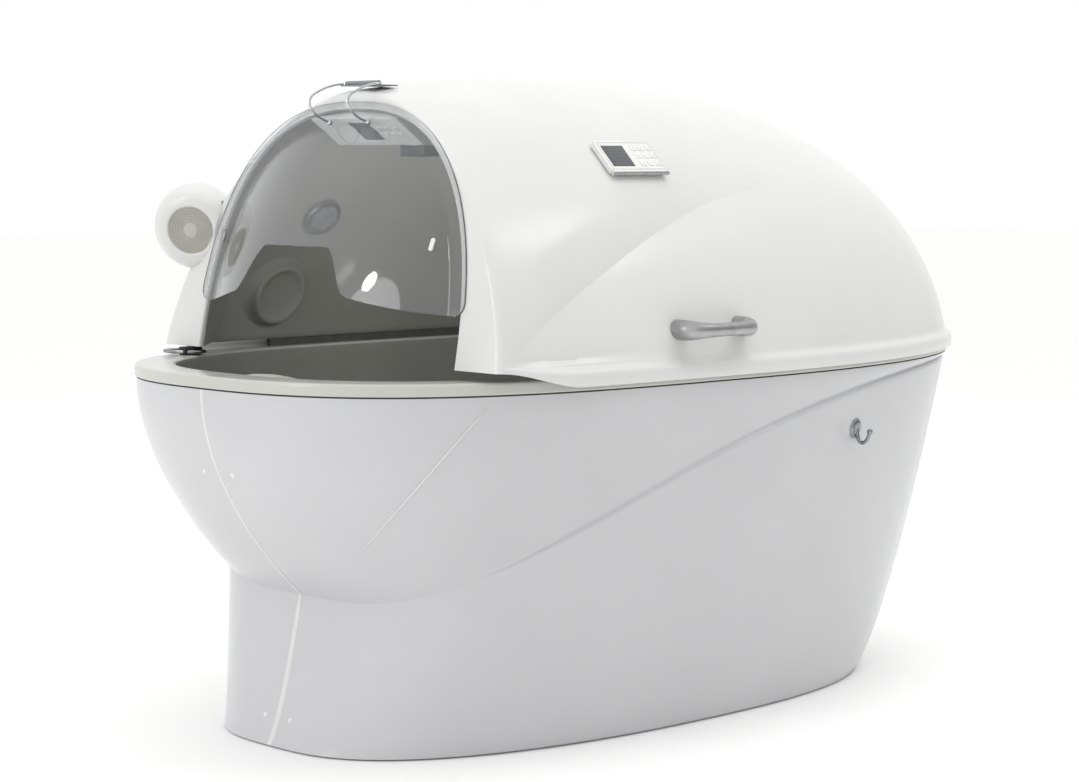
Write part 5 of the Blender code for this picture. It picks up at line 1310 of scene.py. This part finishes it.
# small caps beside the hull's seam, and the fine mould line that runs down the bowl
capLook = {"spots": ((0.050, 0.600), (0.043, 0.060)),
           "profile": ((0, 0.0022), (0.003, 0.0020), (0.0052, 0.0011), (0.006, 0.0), (0.006, -0.002),
                       (0, -0.002))}
lineLook = {"points": ((-0.7867, -0.5307, 0.7564), (-0.8255, -0.5094, 0.7082), (-0.8571, -0.4800, 0.6588),
                       (-0.8832, -0.4440, 0.6083), (-0.9039, -0.4011, 0.5563), (-0.9176, -0.3491, 0.5023),
                       (-0.9195, -0.2815, 0.4445)),
            "wide": 0.0019, "proud": 0.0008, "outside": (-0.2, -0.25, -0.05), "steps": 60,
            "taper": (0.06, 0.88, 0.5)}


def hullTree(half):
    corners = [vert.co for vert in half.data.vertices]
    return BVHTree.FromPolygons(corners, [face.vertices for face in half.data.polygons])


def makeSeamCaps():
    made = 0
    for half, side in ((hullNear, -1), (hullFar, 1)):
        tree = hullTree(half)
        for y, z in capLook["spots"]:
            point, normal, _, _ = tree.ray_cast(Vector((-2, side * y, z)), Vector((1, 0, 0)))
            made += 1
            cap = lathe(f"seamCap{made}", capLook["profile"], facing(point, normal, (0, 0, 1)), 24)
            dress(cap, "hull", whiteAbs)


def makeMouldLine():
    tree = hullTree(hullNear)
    stops = lineLook["points"]
    start, span, power = lineLook["taper"]
    outside = Vector(lineLook["outside"])  # met from outside, where the outer wall comes first
    points = []
    radii = []
    for step in range(lineLook["steps"] + 1):
        at = step / lineLook["steps"] * (len(stops) - 1)
        first = min(int(at), len(stops) - 2)
        guess = Vector(stops[first]).lerp(Vector(stops[first + 1]), at - first)
        point, normal, _, _ = tree.ray_cast(guess + outside, -outside)
        points.append(point + normal * lineLook["proud"])
        turn = math.pi * (start + span * step / lineLook["steps"])
        radii.append(lineLook["wide"] * math.sin(turn) ** power)
    return rod("mouldLine", points, radii)


# pale bead over the seam at the head end: a thin line on the bowl, a strip down the pedestal
stripLook = {"bowlHalf": 0.0042, "footHalf": 0.0072, "blend": 0.03, "proud": 0.0009, "wall": 0.0014,
             "across": 6, "inside": (0, 0, 0.45)}


def makeSeamStrip():
    line = [hullPoint(0.0, row) for row in range(hullRows + 1)]
    corner = creasePoint(0.0).z

    def place(column, row):
        way = (line[min(row + 1, hullRows)] - line[max(row - 1, 0)]).normalized()
        out = Vector((-way.z, 0, way.x))
        low = smoothStep((corner - line[row].z) / stripLook["blend"])
        half = stripLook["bowlHalf"] + (stripLook["footHalf"] - stripLook["bowlHalf"]) * low
        side = 2 * column / stripLook["across"] - 1
        return line[row] + out * stripLook["proud"] * (1 - side ** 2) + Vector((0, side * half, 0))

    strip = gridPiece("seamStrip", stripLook["across"], hullRows, place, stripLook["inside"])
    addWall(strip, stripLook["wall"], -1)
    smoothShade(strip, 40)
    return strip


makeSeamCaps()
# mould line and seam strip in the lighter gelcoat copy; the mould line's pale tone is a painted highlight
# along its ridge
dress(makeMouldLine(), "hull", litWhiteGelcoat)
dress(makeSeamStrip(), "hull", litWhiteGelcoat)
print("seam caps, mould line and seam strip made")


# headrest: foam pad in a vinyl cover, swelled by a short cloth simulation
padLook = {"start": 0.92, "voxel": 0.005, "pressure": 4.0, "frames": 20, "cap": 0.009, "seamDeep": 0.003,
           "seamWide": 0.007}


def makeHeadrest():
    pad = copyNode("headrest", "headrestPad")
    closeUp(pad)
    middle = sum((vert.co for vert in pad.data.vertices), Vector()) / len(pad.data.vertices)
    for vert in pad.data.vertices:
        vert.co = middle + (vert.co - middle) * padLook["start"]
    pick(pad)
    pad.data.remesh_voxel_size = padLook["voxel"]
    bpy.ops.object.voxel_remesh()
    before = [vert.co.copy() for vert in pad.data.vertices]
    cloth = pad.modifiers.new("cloth", "CLOTH")
    cloth.settings.use_pressure = True
    cloth.settings.uniform_pressure_force = padLook["pressure"]
    cloth.settings.effector_weights.gravity = 0
    for number in range(1, padLook["frames"] + 1):
        bpy.context.scene.frame_set(number)
    applyModifiers(pad)
    bpy.context.scene.frame_set(1)
    for vert, old in zip(pad.data.vertices, before):
        move = vert.co - old
        vert.co = old + move * min(1.0, padLook["cap"] / max(move.length, 0.000001))
    heights = [vert.co.z for vert in pad.data.vertices]
    seam = (min(heights) + max(heights)) / 2
    for vert in pad.data.vertices:
        near = max(1 - abs(vert.co.z - seam) / padLook["seamWide"], 0.0)
        vert.co -= vert.normal * padLook["seamDeep"] * near
    finer = pad.modifiers.new("finer", "SUBSURF")
    finer.levels = finer.render_levels = 1
    applyModifiers(pad)
    smoothShade(pad, 60)
    return pad


headrest = dress(makeHeadrest(), "hull", greyVinyl, ["headrest"])
print("headrest made")


# lid rest: rubber block in an oval chrome catch
restLook = {"place": (-0.800, 0.490, 0.8100), "long": 1.35, "narrow": 0.72, "turn": -62, "edge": 0.003,
            "ring": ((0.030, 0), (0.036, 0), (0.039, 0.0015), (0.040, 0.0045), (0.039, 0.0075),
                     (0.036, 0.009), (0.032, 0.009), (0.030, 0.0075), (0.030, 0))}
easedCopy("lid_rest", restLook["edge"], "hull", blackRubber, "black_rubber", 3)
ringPlace = Matrix.Translation(restLook["place"]) @ Matrix.Rotation(math.radians(restLook["turn"]), 4, "Z")
ringPlace = ringPlace @ Matrix.Diagonal((restLook["long"], restLook["narrow"], 1, 1))
dress(lathe("lidCatch", restLook["ring"], ringPlace, 56), "hull", dullChrome)
print("lid rest made")


# other fittings keep the CAD solid's shape: rounding of their edges, body, finish, slot
easedLooks = {
    "drain": (0.0012, "hull", chromePlate, "chrome", 2, "drainStrainer"),
    "steam_outlet": (0.0012, "hull", chromePlate, "chrome"),
    "base_frame": (0.004, "hull", zincSteel, "frame_aluminium"),
    "steam_generator": (0.006, "hull", greyPaint, "steamer_casing", 2, "steamUnit"),
    "control_box": (0.005, "hull", whiteAbs, "white_plastic"),
    "mains_inlet": (0.002, "hull", blackAbs, "black_plastic")}
hingeLooks = {"base": (0.002, "hull", satinNickel, "steel"), "arm": (0.002, "lid", satinNickel, "steel"),
              "pin": (0.0012, "hull", chromePlate, "chrome")}
for part, look in hingeLooks.items():
    for end in ("head", "foot"):
        easedLooks[f"hinge_{part}_{end}"] = look
easedLooks["fan_motor"] = (0.0008, "lid", blackAbs, "black_plastic")
easedLooks["fan_rotor"] = (0.0005, "fan_rotor", creamAbs, "white_plastic")
for number in range(1, 5):
    easedLooks[f"foot_{number}"] = (0.003, "hull", blackRubber, "black_rubber", 2, f"levellingFoot{number}")
for nodeName, look in easedLooks.items():
    easedCopy(nodeName, *look)
for nodeName in ("rim_gasket", "lid_seal"):
    nodes[nodeName].data.materials.clear()
    nodes[nodeName].data.materials.append(greyRubber)
print("other fittings dressed")


# pale floor and soft studio light
studioLook = {"floorSize": 60, "worldColour": "ffffff", "worldStrength": 1.0,
              "boxes": (((0.9, -1.6, 4.6), 3.0, 46, False), ((-0.2, 0.3, 4.8), 3.2, 28, False),
                        ((-4.2, 0.3, 1.9), 1.6, 16, True), ((1.876, -2.07, 3.87), 0.8, 5, True)),
              "boxAim": (0, 0, 0.7),
              "fills": (((-0.35, -0.14, 1.14), (0.05, 0.45, 0.90), 0.2, 2.2),
                        ((-0.95, -0.10, 0.93), (-0.6, 0.05, 1.32), 0.3, 0.3)),
              "glint": ((-3.46, 0.42, 2.36), 0.26, 5), "glintAim": (-0.83, -0.25, 1.05),
              "darkSide": (0.55, -0.83, -0.60), "darkest": 0.36, "darkReach": 0.8}


def addLamp(place, target, size, power, shape, **seen):
    aim = Vector(target) - Vector(place)
    turn = aim.to_track_quat("-Z", "Y").to_euler()
    bpy.ops.object.light_add(type="AREA", location=place, rotation=turn)
    lamp = bpy.context.object
    lamp.data.shape = shape
    lamp.data.size = size
    lamp.data.energy = power
    for name, value in seen.items():
        setattr(lamp, name, value)


def makeStudio():
    deselectAll()
    bpy.ops.mesh.primitive_plane_add(size=studioLook["floorSize"])
    floor = bpy.context.object
    floor.name = "studioFloor"
    floor.data.materials.append(studioPaper)
    for place, size, power, shines in studioLook["boxes"]:
        addLamp(place, studioLook["boxAim"], size, power, "DISK", visible_glossy=shines)
    for place, target, size, power in studioLook["fills"]:
        addLamp(place, target, size, power, "SQUARE", visible_camera=False, visible_glossy=False)
    # a lamp that only shows as a glint on the visor
    place, size, power = studioLook["glint"]
    addLamp(place, studioLook["glintAim"], size, power, "DISK",
            visible_diffuse=False, visible_transmission=False, visible_camera=False)
    world = bpy.data.worlds.new("studioWhite")
    bpy.context.scene.world = world
    world.use_nodes = True
    tree = world.node_tree
    background = tree.nodes["Background"]
    background.inputs["Color"].default_value = linear(studioLook["worldColour"])
    # the room falls off towards the near right, where no lamp stands
    way = addNode(tree, "ShaderNodeTexCoord", {}).outputs["Generated"]
    darkWay = Vector(studioLook["darkSide"]).normalized()
    side = addNode(tree, "ShaderNodeVectorMath", {0: way, 1: darkWay}, operation="DOT_PRODUCT")
    fall = addNode(tree, "ShaderNodeMapRange", {
        "Value": side.outputs["Value"], "From Min": 0.0, "From Max": studioLook["darkReach"],
        "To Min": studioLook["worldStrength"], "To Max": studioLook["darkest"]})
    tree.links.new(fall.outputs["Result"], background.inputs["Strength"])
    bpy.context.scene.view_settings.view_transform = "Standard"


makeStudio()
print("studio lit")
